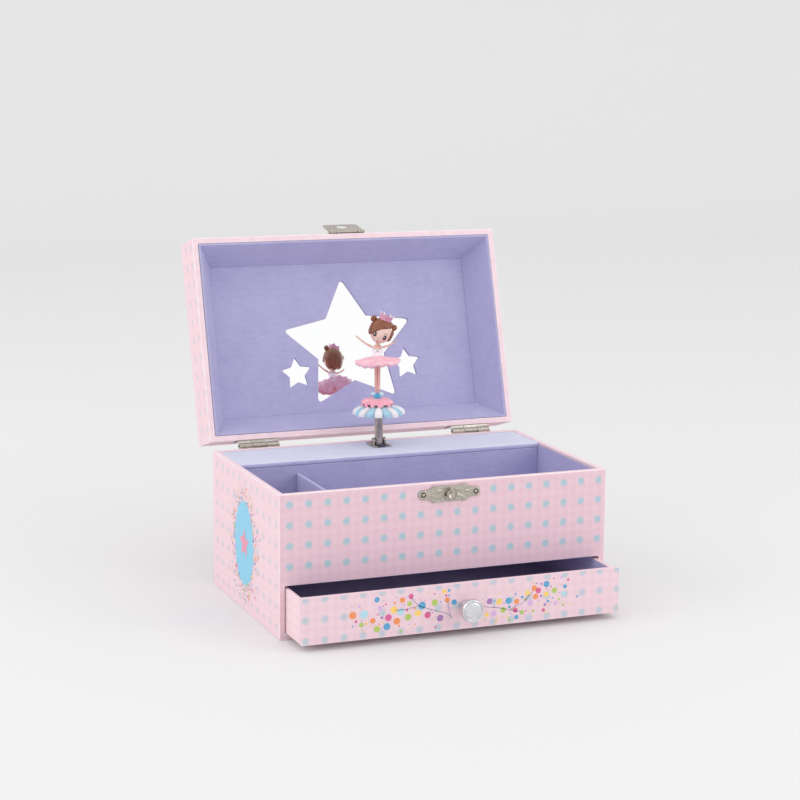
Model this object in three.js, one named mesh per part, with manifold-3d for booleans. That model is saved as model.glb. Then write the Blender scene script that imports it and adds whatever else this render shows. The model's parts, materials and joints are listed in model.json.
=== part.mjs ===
// Musical jewellery box with a folding dancer: a papered board case with a hinged lid, a drawer and
// a spring-driven movement. Millimetres, +Z up, X along the front, Y towards the back, origin at the
// middle of the case's underside. The lid stands open, the drawer is part open, the dancer is up.
import * as THREE from 'three'
import { mergeVertices } from 'three/addons/utils/BufferGeometryUtils.js'
import Module from 'manifold-3d'

const wasm = await Module()
wasm.setup()

// Fits
const seam = 0.3 // between pieces that are glued, screwed or resting on each other
const running = 0.25 // round a shaft that turns in a hole
const toothGap = 0.25 // between a tooth's tip and the root it faces

// Case
const boxWidth = 240
const boxDepth = 150
const boxHeight = 99
const wallThick = 4
const baseThick = 4.5
const deckThick = 3
const bayHeight = 32.2 // clear height of the drawer's bay
const liningThick = 1
const paperTurnIn = 2 // printed paper turned over the rim, above the lining

// Dancer's platform and divider
const platformDepth = 50.4 // front edge of the platform in front of the case's back face
const shelfThick = 3
const shelfDrop = 0.5 // top of the platform below the rim
const shelfEdgeRadius = 2.4
const dividerThick = 2.5
const binWidth = 40.8 // small bin left of the divider
const dividerDrop = 9.3 // top of the divider below the rim

// Lid, hinges
const lidHeight = 30.6
const lidWall = 4.4
const lidTopThick = 3.5
const lidGap = 2 // between the two rims when shut
const lidOpenDeg = 106.5
const hingeStandOff = 4.2 // hinge axis behind the back wall
const hingeInset = 36 // middle of a hinge from the case's side
const hingeWidth = 30
const leafThick = 0.8
const leafHeight = 13
const knuckleRadius = 2.1
const hingePinRadius = 0.9
const linerThick = 1.2
const linerSlope = 0.523 // inward run of the lid's lining for each unit of depth
const panelThick = 1.2
const mirrorThick = 1

// Star windows in the lid's panel
const bigStarRadius = 51.7
const bigStarStretch = 1.055 // width of the big star over a regular star's
const smallStarRadius = 12.4
const bigStarWaist = 0.52 // inner radius of a star over its outer radius
const smallStarWaist = 0.53
const starTipRound = 2.4 // at most, and this share of the radius on a small star
const starTipShare = 0.06
const bigStarX = 3.5 // middle of the big star from the lid's middle
const bigStarY = 6.5
const mirrorInset = 1 // mirror's edge inside the panel's edge

// Drawer
const drawerOut = 31.7 // how far it is pulled out
const drawerSlack = 0.65 // each side of the drawer's front
const drawerFrontThick = 4
const drawerSideThick = 3
const drawerBottomThick = 2.5
const drawerSideDrop = 1.6 // sides below the front's top edge
const drawerPadThick = 1
const knobRadius = 8
const knobReach = 14.3
const knobScrewRadius = 1.5

// Catch
const catchX = 1 // middle of the catch along the front
const catchWidth = 45
const catchHeight = 12
const catchBelowRim = 8 // middle of the catch plate below the rim
const catchPlateThick = 0.8
const studRadius = 3.1
const studReach = 3.2
const haspWidth = 28
const haspPlateHeight = 8
const flapRim = 1.8 // metal round the flap's hole for the stud
const flapFoldDeg = 152 // how far the flap is folded back from shut
const haspKnuckleRadius = 1.3
const haspPinRadius = 0.6

// Movement
const gearModule = 0.6
const fineModule = 0.45
const greatTeeth = 48
const crownTeeth = 40
const spindlePinionTeeth = 10
const cylinderPinionTeeth = 12
const cylinderWheelTeeth = 40
const governorTeeth = 8
const wheelThick = 1.6
const frameThick = 1.5
const arborHeight = 18.3 // winding arbor above the deck
const arborRadius = 1.5
const drumRadius = 5.5
const drumLength = 17
const pinReach = 0.6
const barrelRadius = 11
const barrelLength = 17
const combTeeth = 12
const combThick = 0.9
const governorDeg = 60 // direction of the governor from the cylinder
const flyReach = 4.2
const keyWidth = 23
const keyReach = 21 // end of the key behind the back wall

// Spindle and dancer: heights are above the platform
const spindleX = 1
const spindleBack = 18 // spindle in front of the case's back face
const tubeRadius = 3.05
const tubeBore = 2
const tubeTop = 22.8
const tubeBelowPivot = 2.8
const pivotHeight = 3.5
const slotFront = 10 // slot of the fitting in front of the spindle
const trunnionRadius = 1
const shaftRadius = 1
const fittingThick = 0.8
const earThick = 1.3
const coilRadius = 1.4 // flexible drive inside the tube
const coilTurns = 6
const wireRadius = 0.22
const figureYawDeg = -21.8 // the dancer looks a little to the left
const figureShift = -1.2 // the figure stands this far beside the spindle's axis
const skirtRadius = 19.5
const skirtHeight = 6.6
const ruffleRadius = 11.8
const bowFoot = 34.4
const bowTop = 38.2
const bowRadius = 4.6
const legRadius = 1.15
const legApart = 1.05 // middle of a leg from the figure's middle
const hipHeight = 60.2
const tutuRadius = 16.8
const waistHeight = 66.6
const shoulderRise = 6.3 // shoulders above the waist
const shoulderRadius = 3.8
const armRadius = 0.95
const leftHand = [-15.2, 6.4] // beside the middle, and above the shoulders
const rightHand = [13.6, 4]
const headRise = 11.9 // middle of the head above the shoulders
const headRadii = [8.5, 8, 9]
const hairThick = 1
const hairGap = 0.4 // hair outside the head
const bunRadius = 2.4
const crownRadius = 4.9
const crownHeight = 4.2
const headTiltDeg = 18

// Colours
const pinkPaper = new THREE.Color(0.87, 0.72, 0.77)
const lilac = new THREE.Color(0.42, 0.37, 0.62)
const paleLilac = new THREE.Color(0.62, 0.62, 0.76)
const navy = new THREE.Color(0.06, 0.05, 0.1)
const silver = new THREE.Color(0.75, 0.74, 0.72)
const steel = new THREE.Color(0.5, 0.5, 0.52)
const brass = new THREE.Color(0.76, 0.6, 0.3)
const skin = new THREE.Color(0.9, 0.66, 0.58)
const brown = new THREE.Color(0.2, 0.08, 0.05)
const rose = new THREE.Color(0.9, 0.45, 0.55)
const skyBlue = new THREE.Color(0.2, 0.55, 0.75)
const white = new THREE.Color(0.93, 0.93, 0.93)

// ---------------------------------------------------------------- helpers
const degrees = THREE.MathUtils.degToRad

// Gives a geometry outward faces and only the triangles that have an area.
function tidy(geometry) {
  const bare = geometry.clone()
  bare.deleteAttribute('normal')
  bare.deleteAttribute('uv')
  const merged = mergeVertices(bare, 1e-4)
  const places = merged.attributes.position
  const corner = (i) => new THREE.Vector3().fromBufferAttribute(places, i)
  const kept = []
  let volume = 0
  for (let i = 0; i < merged.index.count; i += 3) {
    const [a, b, c] = [0, 1, 2].map((k) => merged.index.getX(i + k))
    if (a === b || b === c || c === a) continue
    kept.push(a, b, c)
    volume += corner(a).dot(corner(b).cross(corner(c)))
  }
  merged.setIndex(volume < 0 ? kept.reverse() : kept)
  return merged
}

function toSolid(geometry) {
  const closed = geometry.userData.joined ? geometry : tidy(geometry)
  const vertProperties = Float32Array.from(closed.attributes.position.array)
  const triVerts = Uint32Array.from(closed.index.array)
  return new wasm.Manifold(new wasm.Mesh({ numProp: 3, vertProperties, triVerts }))
}

function toGeometry(solid) {
  const mesh = solid.getMesh()
  const geometry = new THREE.BufferGeometry()
  geometry.setAttribute('position', new THREE.BufferAttribute(mesh.vertProperties, 3))
  geometry.setIndex(Array.from(mesh.triVerts))
  geometry.userData.joined = true
  return geometry
}

function join(...geometries) {
  return toGeometry(geometries.map(toSolid).reduce((whole, next) => whole.add(next)))
}

function cut(geometry, ...tools) {
  return toGeometry(tools.map(toSolid).reduce((whole, next) => whole.subtract(next), toSolid(geometry)))
}

function block([x0, x1], [y0, y1], [z0, z1]) {
  const geometry = new THREE.BoxGeometry(x1 - x0, y1 - y0, z1 - z0)
  return geometry.translate((x0 + x1) / 2, (y0 + y1) / 2, (z0 + z1) / 2)
}

function rodX(radius, [x0, x1], y, z, sides = 20) {
  const geometry = new THREE.CylinderGeometry(radius, radius, x1 - x0, sides).rotateZ(Math.PI / 2)
  return geometry.translate((x0 + x1) / 2, y, z)
}

function rodY(radius, [y0, y1], x, z, sides = 24) {
  const geometry = new THREE.CylinderGeometry(radius, radius, y1 - y0, sides)
  return geometry.translate(x, (y0 + y1) / 2, z)
}

function rodZ(radius, [z0, z1], x, y, sides = 24) {
  const geometry = new THREE.CylinderGeometry(radius, radius, z1 - z0, sides).rotateX(Math.PI / 2)
  return geometry.translate(x, y, (z0 + z1) / 2)
}

// A flat outline given thickness: drawn in x and y, or in x and z, or in y and z.
function plateXY(shape, [z0, z1]) {
  return new THREE.ExtrudeGeometry(shape, { depth: z1 - z0, bevelEnabled: false, curveSegments: 6 })
    .translate(0, 0, z0)
}

function plateXZ(shape, [y0, y1]) {
  return plateXY(shape, [0, y1 - y0]).rotateX(Math.PI / 2).translate(0, y1, 0)
}

function plateYZ(shape, [x0, x1]) {
  const turn = new THREE.Matrix4().makeBasis(
    new THREE.Vector3(0, 1, 0), new THREE.Vector3(0, 0, 1), new THREE.Vector3(1, 0, 0))
  return plateXY(shape, [0, x1 - x0]).applyMatrix4(turn).translate(x0, 0, 0)
}

function outline(points) {
  return new THREE.Shape(points.map(([x, y]) => new THREE.Vector2(x, y)))
}

// A rectangle with round corners, centred on x, y.
function roundedRect(x, y, width, height, radius) {
  const shape = new THREE.Shape()
  const right = x + width / 2 - radius
  const left = x - width / 2 + radius
  const top = y + height / 2 - radius
  const bottom = y - height / 2 + radius
  shape.absarc(right, top, radius, 0, Math.PI / 2)
  shape.absarc(left, top, radius, Math.PI / 2, Math.PI)
  shape.absarc(left, bottom, radius, Math.PI, 1.5 * Math.PI)
  shape.absarc(right, bottom, radius, 1.5 * Math.PI, 2 * Math.PI)
  return shape
}

// A profile of [radius, height] points turned about Z. A ring's profile closes on itself.
function turned(points, sides = 32) {
  const onAxis = points[0][0] === 0
  const profile = onAxis ? points : [...points, points[0]]
  const vectors = profile.map(([radius, height]) => new THREE.Vector2(radius, height))
  return new THREE.LatheGeometry(vectors, sides).rotateX(Math.PI / 2)
}

// A spur wheel's outline about 0, 0. Phase is in tooth pitches.
function gearOutline(teeth, module, phase = 0) {
  const pitchAngle = 2 * Math.PI / teeth
  const pitchRadius = teeth * module / 2
  const tip = pitchRadius + 0.8 * module
  const root = pitchRadius - 1.15 * module
  const points = []
  for (let tooth = 0; tooth < teeth; tooth++) {
    const middle = (tooth + phase) * pitchAngle
    for (const [radius, share] of [[root, -0.28], [tip, -0.1], [tip, 0.1], [root, 0.28]]) {
      const angle = middle + share * pitchAngle
      points.push([radius * Math.cos(angle), radius * Math.sin(angle)])
    }
  }
  return outline(points)
}

const part = new THREE.Group()
let parent = part

function add(name, geometry, color, roughness = 0.7, metalness = 0) {
  const material = new THREE.MeshStandardMaterial({ color, roughness, metalness })
  const mesh = new THREE.Mesh(tidy(geometry), material)
  mesh.name = name
  parent.add(mesh)
  return mesh
}

function inGroup(group, owner, build) {
  owner.add(group)
  const outer = parent
  parent = group
  build()
  parent = outer
  return group
}

// ---------------------------------------------------------------- case
const halfWidth = boxWidth / 2
const halfDepth = boxDepth / 2
const innerX = halfWidth - wallThick
const innerY = halfDepth - wallThick
const bayTop = baseThick + bayHeight
const deckTop = bayTop + deckThick
const shelfEdgeY = halfDepth - platformDepth
const liningX = innerX - seam - liningThick
const liningY = innerY - seam - liningThick
const floorTop = deckTop + seam + liningThick
const shelfTop = boxHeight - shelfDrop
const shelfUnder = shelfTop - shelfThick
const betweenWalls = [-innerX + seam, innerX - seam]
const insideDepth = [-innerY + seam, innerY - seam]

add('base_board', block([-halfWidth, halfWidth], [-halfDepth, halfDepth], [0, baseThick]), pinkPaper)
const wallRise = [baseThick + seam, boxHeight]
add('left_wall', block([-halfWidth, -innerX], [-halfDepth, halfDepth], wallRise), pinkPaper)
add('right_wall', block([innerX, halfWidth], [-halfDepth, halfDepth], wallRise), pinkPaper)
add('front_panel', block(betweenWalls, [-halfDepth, -innerY], [bayTop, boxHeight]), pinkPaper)
add('deck', block(betweenWalls, insideDepth, [bayTop, deckTop]), pinkPaper)

const spindleY = halfDepth - spindleBack
const arborZ = deckTop + arborHeight
const keyHole = rodY(arborRadius + 1.7, [innerY - 1, halfDepth + 1], spindleX, arborZ)
add('back_wall', cut(block(betweenWalls, [innerY, halfDepth], wallRise), keyHole), pinkPaper)

// Lilac card linings: a floor, and one strip folded round three sides.
const compartmentDepth = [-innerY + seam, shelfEdgeY - seam]
add('floor_lining', block(betweenWalls, compartmentDepth, [deckTop + seam, floorTop]), lilac, 0.95)
const stripOutline = outline([
  [betweenWalls[0], compartmentDepth[1]], [betweenWalls[0], compartmentDepth[0]],
  [betweenWalls[1], compartmentDepth[0]], [betweenWalls[1], compartmentDepth[1]],
  [liningX, compartmentDepth[1]], [liningX, -liningY], [-liningX, -liningY],
  [-liningX, compartmentDepth[1]],
])
const liningRise = [floorTop + seam, boxHeight - paperTurnIn]
add('wall_lining', plateXY(stripOutline, liningRise), lilac, 0.95)

const dividerX = -liningX + binWidth
const dividerDepth = [-liningY + seam, shelfEdgeY - seam]
const dividerRise = [floorTop + seam, boxHeight - dividerDrop]
add('divider', block([dividerX, dividerX + dividerThick], dividerDepth, dividerRise), lilac, 0.95)

// Platform over the movement, with a slot under the spindle's pivot.
const shelfSection = new THREE.Shape()
shelfSection.moveTo(innerY - seam, shelfUnder)
shelfSection.lineTo(innerY - seam, shelfTop)
shelfSection.absarc(shelfEdgeY + shelfEdgeRadius, shelfTop - shelfEdgeRadius, shelfEdgeRadius,
  Math.PI / 2, Math.PI)
shelfSection.lineTo(shelfEdgeY, shelfUnder)
const pivotZ = shelfTop + pivotHeight
const slotHalf = tubeRadius + trunnionRadius + 0.3
const slotBack = Math.hypot(tubeRadius, pivotHeight) + 1.2
const slotX = [spindleX - slotHalf, spindleX + slotHalf]
const slotY = [spindleY - slotFront, spindleY + slotBack]
const shelfSlot = block(slotX, slotY, [shelfUnder - 1, shelfTop + 1])
add('shelf_top', cut(plateYZ(shelfSection, betweenWalls), shelfSlot), paleLilac, 0.95)
const shelfFaceDepth = [shelfEdgeY, shelfEdgeY + shelfThick]
add('shelf_front', block(betweenWalls, shelfFaceDepth, [deckTop + seam, shelfUnder - seam]), lilac, 0.95)

// ---------------------------------------------------------------- catch on the case
const catchZ = boxHeight - catchBelowRim
const plateY = [-halfDepth - seam - catchPlateThick, -halfDepth - seam]

// A plate with a broad middle and a round ear at each end.
function catchOutline(x, z) {
  const shape = new THREE.Shape()
  const earRadius = catchHeight * 0.27
  const earX = catchWidth / 2 - earRadius
  const bodyX = catchWidth * 0.27
  const bodyZ = catchHeight / 2
  shape.moveTo(x - bodyX, z - bodyZ)
  shape.quadraticCurveTo(x, z - bodyZ * 0.8, x + bodyX, z - bodyZ)
  shape.quadraticCurveTo(x + bodyX * 1.1, z - earRadius, x + earX, z - earRadius)
  shape.absarc(x + earX, z, earRadius, -Math.PI / 2, Math.PI / 2)
  shape.quadraticCurveTo(x + bodyX * 1.1, z + earRadius, x + bodyX, z + bodyZ)
  shape.quadraticCurveTo(x, z + bodyZ * 0.8, x - bodyX, z + bodyZ)
  shape.quadraticCurveTo(x - bodyX * 1.1, z + earRadius, x - earX, z + earRadius)
  shape.absarc(x - earX, z, earRadius, Math.PI / 2, 1.5 * Math.PI)
  shape.quadraticCurveTo(x - bodyX * 1.1, z - earRadius, x - bodyX, z - bodyZ)
  return shape
}
add('catch_plate', plateXZ(catchOutline(catchX, catchZ), plateY), silver, 0.3, 1)
const studDepth = [plateY[0] - seam - studReach, plateY[0] - seam]
add('catch_stud', rodY(studRadius, studDepth, catchX, catchZ), silver, 0.25, 1)

// ---------------------------------------------------------------- hinges
const hingeY = halfDepth + hingeStandOff
const hingeZ = boxHeight + lidGap / 2
const knuckleBore = hingePinRadius + running
const knuckleThird = (hingeWidth - 2 * seam) / 3

// One leaf about the hinge axis. Side is -1 below the axis and 1 above it.
function hingeLeaf(middleX, side, knuckles) {
  const face = -hingeStandOff + seam
  const start = side * lidGap / 2
  const spanX = [middleX - hingeWidth / 2, middleX + hingeWidth / 2]
  const spanZ = [start, start + side * leafHeight].sort((a, b) => a - b)
  const pieces = [block(spanX, [face, face + leafThick], spanZ)]
  const armZ = [start - side * 0.5, start + side * leafThick].sort((a, b) => a - b)
  for (const knuckle of knuckles) {
    const x0 = spanX[0] + knuckle * (knuckleThird + seam)
    const along = [x0, x0 + knuckleThird]
    pieces.push(block(along, [face, -hingePinRadius - 0.7], armZ))
    pieces.push(rodX(knuckleRadius, along, 0, 0))
  }
  const bore = rodX(knuckleBore, [spanX[0] - 1, spanX[1] + 1], 0, 0)
  return cut(join(...pieces), bore)
}

const hingePlaces = { left: -halfWidth + hingeInset, right: halfWidth - hingeInset }
for (const [side, x] of Object.entries(hingePlaces)) {
  const leaf = hingeLeaf(x, -1, [0, 2]).translate(0, hingeY, hingeZ)
  add(`${side}_hinge_case_leaf`, leaf, silver, 0.3, 1)
  const pinSpan = [x - hingeWidth / 2 - 0.6, x + hingeWidth / 2 + 0.6]
  add(`${side}_hinge_pin`, rodX(hingePinRadius, pinSpan, hingeY, hingeZ), silver, 0.3, 1)
}

// ---------------------------------------------------------------- lid
// Built as it lies when shut, about the hinge axis, then turned open.
const lidGroup = new THREE.Group()
lidGroup.position.set(0, hingeY, hingeZ)
lidGroup.rotation.x = -degrees(lidOpenDeg)
const lidFrontY = -halfDepth - hingeY
const lidBackY = halfDepth - hingeY
const rimZ = lidGap / 2
const lidTopZ = rimZ + lidHeight
const lidWallTop = lidTopZ - lidTopThick - seam
const mirrorTop = lidWallTop
const panelTop = mirrorTop - mirrorThick - seam
const panelFace = panelTop - panelThick

// The open space of the lid at a given inset from its outer faces, as corner points.
function lidRectangle(inset) {
  const x = halfWidth - inset
  return [[-x, lidFrontY + inset], [x, lidFrontY + inset], [x, lidBackY - inset], [-x, lidBackY - inset]]
}

// A frustum-shaped tray between two insets at two heights.
function lidFrustum(lowInset, lowZ, highInset, highZ) {
  const low = lidRectangle(lowInset).map(([x, y]) => [x, y, lowZ])
  const high = lidRectangle(highInset).map(([x, y]) => [x, y, highZ])
  const geometry = new THREE.BufferGeometry()
  geometry.setAttribute('position', new THREE.Float32BufferAttribute([...low, ...high].flat(), 3))
  const faces = [0, 2, 1, 0, 3, 2, 4, 5, 6, 4, 6, 7]
  for (let i = 0; i < 4; i++) {
    const next = (i + 1) % 4
    faces.push(i, next, next + 4, i, next + 4, i + 4)
  }
  geometry.setIndex(faces)
  return geometry
}

// A five-pointed star with rounded tips, its first tip towards the lid's front, tipped by an angle.
function starPath({ x, y, radius, waist, stretch, turnDeg }) {
  const path = new THREE.Path()
  const tipRound = Math.min(starTipRound, radius * starTipShare)
  const place = (distance, turn) => {
    const angle = degrees(turnDeg - 90 + turn)
    return new THREE.Vector2(x + stretch * distance * Math.cos(angle), y + distance * Math.sin(angle))
  }
  for (let tip = 0; tip < 5; tip++) {
    const before = place(radius * waist, tip * 72 - 36)
    const point = place(radius, tip * 72)
    const after = place(radius * waist, tip * 72 + 36)
    const reach = tipRound * 2.2 / point.distanceTo(before)
    const from = point.clone().lerp(before, reach)
    const to = point.clone().lerp(after, reach)
    if (tip === 0) path.moveTo(before.x, before.y)
    else path.lineTo(before.x, before.y)
    path.lineTo(from.x, from.y)
    path.quadraticCurveTo(point.x, point.y, to.x, to.y)
  }
  path.closePath()
  return path
}

const bigStar = {
  x: bigStarX, y: lidFrontY + halfDepth + bigStarY, radius: bigStarRadius, waist: bigStarWaist,
  stretch: bigStarStretch, turnDeg: -2.6,
}
const smallStar = { radius: smallStarRadius, waist: smallStarWaist, stretch: 1, turnDeg: -4 }
const stars = [
  bigStar,
  { ...smallStar, x: bigStar.x - 44.4, y: bigStar.y + 19.4 },
  { ...smallStar, x: bigStar.x + 44.2, y: bigStar.y + 16.2 },
]

inGroup(lidGroup, part, () => {
  const lidSpan = [lidFrontY, lidBackY]
  const wallSpan = [rimZ, lidWallTop]
  const lidInnerX = halfWidth - lidWall
  const crossX = [-lidInnerX + seam, lidInnerX - seam]
  add('lid_top', block([-halfWidth, halfWidth], lidSpan, [lidTopZ - lidTopThick, lidTopZ]), pinkPaper)
  add('lid_left', block([-halfWidth, -lidInnerX], lidSpan, wallSpan), pinkPaper)
  add('lid_right', block([lidInnerX, halfWidth], lidSpan, wallSpan), pinkPaper)
  add('lid_front', block(crossX, [lidFrontY, lidFrontY + lidWall], wallSpan), pinkPaper)
  add('lid_back', block(crossX, [lidBackY - lidWall, lidBackY], wallSpan), pinkPaper)

  // Sloping lining on all four sides, then the panel with star windows, then the mirror.
  const linerStart = lidWall + seam
  const linerDepth = panelFace - seam - rimZ
  const linerRun = linerSlope * linerDepth
  const outside = lidFrustum(linerStart, rimZ, linerStart + linerRun, rimZ + linerDepth)
  const inside = lidFrustum(linerStart + linerThick - linerSlope, rimZ - 1,
    linerStart + linerThick + linerRun + linerSlope, rimZ + linerDepth + 1)
  add('lid_liner', cut(outside, inside), lilac, 0.95)

  const panelEdge = lidWall + seam
  const panelShape = outline(lidRectangle(panelEdge))
  panelShape.holes = stars.map(starPath)
  add('star_panel', plateXY(panelShape, [panelFace, panelTop]), lilac, 0.95)
  const mirrorShape = outline(lidRectangle(panelEdge + mirrorInset))
  add('mirror', plateXY(mirrorShape, [panelTop + seam, mirrorTop]), white, 0.05, 1)

  for (const [side, x] of Object.entries(hingePlaces)) {
    add(`${side}_hinge_lid_leaf`, hingeLeaf(x, 1, [1]), silver, 0.3, 1)
  }

  // Hasp: a plate on the lid's front with two knuckles, a pin, and a flap on the pin.
  const haspY = lidFrontY - seam - catchPlateThick / 2 - haspKnuckleRadius + 0.5
  const haspZ = rimZ + haspKnuckleRadius + seam
  const haspBore = haspPinRadius + running
  const haspX = [catchX - haspWidth / 2, catchX + haspWidth / 2]
  const earLength = haspWidth * 0.2
  const haspFace = [lidFrontY - seam - catchPlateThick, lidFrontY - seam]
  const plateFoot = haspZ + haspKnuckleRadius + seam
  const plateMiddle = plateFoot + haspPlateHeight / 2
  const plateShape = roundedRect(catchX, plateMiddle, haspWidth, haspPlateHeight, 2.5)
  const ears = [[haspX[0], haspX[0] + earLength], [haspX[1] - earLength, haspX[1]]]
  const plate = join(
    plateXZ(plateShape, haspFace),
    ...ears.map((along) => rodX(haspKnuckleRadius, along, haspY, haspZ)),
    ...ears.map((along) => block(along, [haspY + 0.1, haspFace[1]], [haspZ, plateFoot + 3])))
  const boreSpan = [haspX[0] - 1, haspX[1] + 1]
  add('hasp_plate', cut(plate, rodX(haspBore, boreSpan, haspY, haspZ)), silver, 0.3, 1)
  add('hasp_pin', rodX(haspPinRadius, haspX, haspY, haspZ, 12), silver, 0.3, 1)

  const flapGroup = new THREE.Group()
  flapGroup.position.set(0, haspY, haspZ)
  flapGroup.rotation.x = -degrees(flapFoldDeg)
  inGroup(flapGroup, lidGroup, () => {
    const leafTop = -haspKnuckleRadius - seam
    const studDrop = haspZ + lidGap / 2 + catchBelowRim
    const studHoleRadius = studRadius + 1
    const leafLength = studDrop + studHoleRadius + flapRim + leafTop
    const leafShape = roundedRect(catchX, leafTop - leafLength / 2, haspWidth, leafLength, 3)
    const studHole = new THREE.Path()
    studHole.absarc(catchX, -studDrop, studHoleRadius, 0, 2 * Math.PI)
    leafShape.holes.push(studHole)
    const knuckleX = [haspX[0] + earLength + seam, haspX[1] - earLength - seam]
    const halfLeaf = catchPlateThick / 2
    const flap = join(
      plateXZ(leafShape, [-halfLeaf, halfLeaf]),
      block(knuckleX, [-halfLeaf, halfLeaf], [leafTop - 1, -haspPinRadius - 0.3]),
      rodX(haspKnuckleRadius, knuckleX, 0, 0))
    add('hasp_flap', cut(flap, rodX(haspBore, boreSpan, 0, 0)), silver, 0.3, 1)
  })
})

// ---------------------------------------------------------------- drawer
// Built shut, then pulled out along -Y.
const drawerGroup = new THREE.Group()
drawerGroup.position.set(0, -drawerOut, 0)
const drawerX = innerX - drawerSlack
const drawerRise = [baseThick + seam, bayTop - seam]
const drawerBack = innerY - seam
const drawerMiddleZ = (drawerRise[0] + drawerRise[1]) / 2

inGroup(drawerGroup, part, () => {
  const frontDepth = [-halfDepth, -halfDepth + drawerFrontThick]
  const screwHole = rodY(knobScrewRadius + running, [-halfDepth - 1, frontDepth[1] + 1], 0, drawerMiddleZ)
  add('drawer_front', cut(block([-drawerX, drawerX], frontDepth, drawerRise), screwHole), pinkPaper)
  const sideRise = [drawerRise[0], drawerRise[1] - drawerSideDrop]
  const boxDepthSpan = [frontDepth[1] + seam, drawerBack]
  add('drawer_left', block([-drawerX, -drawerX + drawerSideThick], boxDepthSpan, sideRise), pinkPaper)
  add('drawer_right', block([drawerX - drawerSideThick, drawerX], boxDepthSpan, sideRise), pinkPaper)
  const acrossX = drawerX - drawerSideThick - seam
  const backDepth = [drawerBack - drawerSideThick, drawerBack]
  add('drawer_back', block([-acrossX, acrossX], backDepth, sideRise), pinkPaper)
  const floorDepth = [frontDepth[1] + seam, backDepth[0] - seam]
  const bottomTop = drawerRise[0] + drawerBottomThick
  add('drawer_bottom', block([-acrossX, acrossX], floorDepth, [drawerRise[0], bottomTop]), pinkPaper)
  const padRise = [bottomTop + seam, bottomTop + seam + drawerPadThick]
  add('drawer_pad', block([-acrossX, acrossX], floorDepth, padRise), navy, 0.95)

  // Knob turned about Y, held by a screw from inside.
  const neck = knobRadius * 0.45
  const knobProfile = [[0, 0], [neck * 1.5, 0], [neck * 1.5, 1.2], [neck, 2.6], [neck, knobReach * 0.45],
    [knobRadius, knobReach * 0.68], [knobRadius, knobReach * 0.85], [knobRadius * 0.85, knobReach * 0.96],
    [0, knobReach]]
  const knobFoot = -halfDepth - seam
  const knob = turned(knobProfile, 36).rotateX(Math.PI / 2).translate(0, knobFoot, drawerMiddleZ)
  const threadEnd = knobFoot - knobReach * 0.55
  const thread = rodY(knobScrewRadius + running, [threadEnd, knobFoot + 1], 0, drawerMiddleZ, 16)
  add('knob', cut(knob, thread), silver, 0.15, 1)
  const shank = rodY(knobScrewRadius, [threadEnd + 1, frontDepth[1] + 1], 0, drawerMiddleZ, 16)
  const headSpan = [frontDepth[1] + seam, frontDepth[1] + seam + 2]
  const head = rodY(knobScrewRadius * 2, headSpan, 0, drawerMiddleZ)
  add('knob_screw', join(shank, head), steel, 0.4, 1)
})

// ---------------------------------------------------------------- movement under the platform
const pinionPitch = spindlePinionTeeth * gearModule / 2
const pinionRoot = pinionPitch - 1.15 * gearModule
const pinionTip = pinionPitch + 0.8 * gearModule
const crownPitch = crownTeeth * gearModule / 2
const wheelBack = spindleY - pinionTip - toothGap
const wheelSpan = [wheelBack - wheelThick, wheelBack]
const crownFace = spindleY - pinionRoot - toothGap
const greatPitch = greatTeeth * gearModule / 2
const cylinderPitch = cylinderPinionTeeth * gearModule / 2
const cylinderX = spindleX + greatPitch + cylinderPitch
const cylinderWheelPitch = cylinderWheelTeeth * fineModule / 2
const governorPitch = governorTeeth * fineModule / 2
const governorReach = cylinderWheelPitch + governorPitch
const governorX = cylinderX + governorReach * Math.cos(degrees(governorDeg))
const governorZ = arborZ + governorReach * Math.sin(degrees(governorDeg))
const barrelSpan = [wheelSpan[0] - 1 - barrelLength, wheelSpan[0] - 1]
const frameFrontY = [barrelSpan[0] - seam - frameThick, barrelSpan[0] - seam]
const frameBackY = [spindleY + pinionTip + 1.5, spindleY + pinionTip + 1.5 + frameThick]
const frameFoot = deckTop + seam
const bedTop = frameFoot + 2
const arborEnd = halfDepth + 6

// Winding arbor with the great wheel, whose back face carries a crown of teeth for the spindle.
const crownWidth = 2.6
const crownTooth = block([-0.36, 0.36], [wheelBack - 0.2, crownFace],
  [crownPitch - crownWidth / 2, crownPitch + crownWidth / 2])
const crown = []
for (let tooth = 0; tooth < crownTeeth; tooth++) {
  const angle = 2 * Math.PI * tooth / crownTeeth
  crown.push(crownTooth.clone().rotateY(angle).translate(spindleX, 0, arborZ))
}
const greatWheel = plateXZ(gearOutline(greatTeeth, gearModule), wheelSpan).translate(spindleX, 0, arborZ)
const windingArbor = rodY(arborRadius, [frameFrontY[0] - 1, arborEnd], spindleX, arborZ)
add('great_wheel', join(greatWheel, windingArbor, ...crown), brass, 0.35, 1)

const keyFoot = halfDepth + 2
const keyEnd = halfDepth + keyReach
const wingShape = new THREE.Shape()
const wingStart = halfDepth + 8
const wingMiddle = (wingStart + keyEnd) / 2
wingShape.moveTo(-1.6, wingStart)
wingShape.bezierCurveTo(-5, wingStart - 2, -keyWidth / 2, wingStart, -keyWidth / 2, wingMiddle)
wingShape.bezierCurveTo(-keyWidth / 2, keyEnd + 1, -4, keyEnd + 1, 0, wingMiddle + 2)
wingShape.bezierCurveTo(4, keyEnd + 1, keyWidth / 2, keyEnd + 1, keyWidth / 2, wingMiddle)
wingShape.bezierCurveTo(keyWidth / 2, wingStart, 5, wingStart - 2, 1.6, wingStart)
const wing = plateXY(wingShape, [-0.8, 0.8]).translate(spindleX, 0, arborZ)
const sleeve = rodY(arborRadius + 1.4, [keyFoot, wingMiddle], spindleX, arborZ)
const sleeveBore = rodY(arborRadius + running, [keyFoot - 1, arborEnd + seam], spindleX, arborZ)
add('winding_key', cut(join(sleeve, wing), sleeveBore), silver, 0.3, 1)

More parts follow.
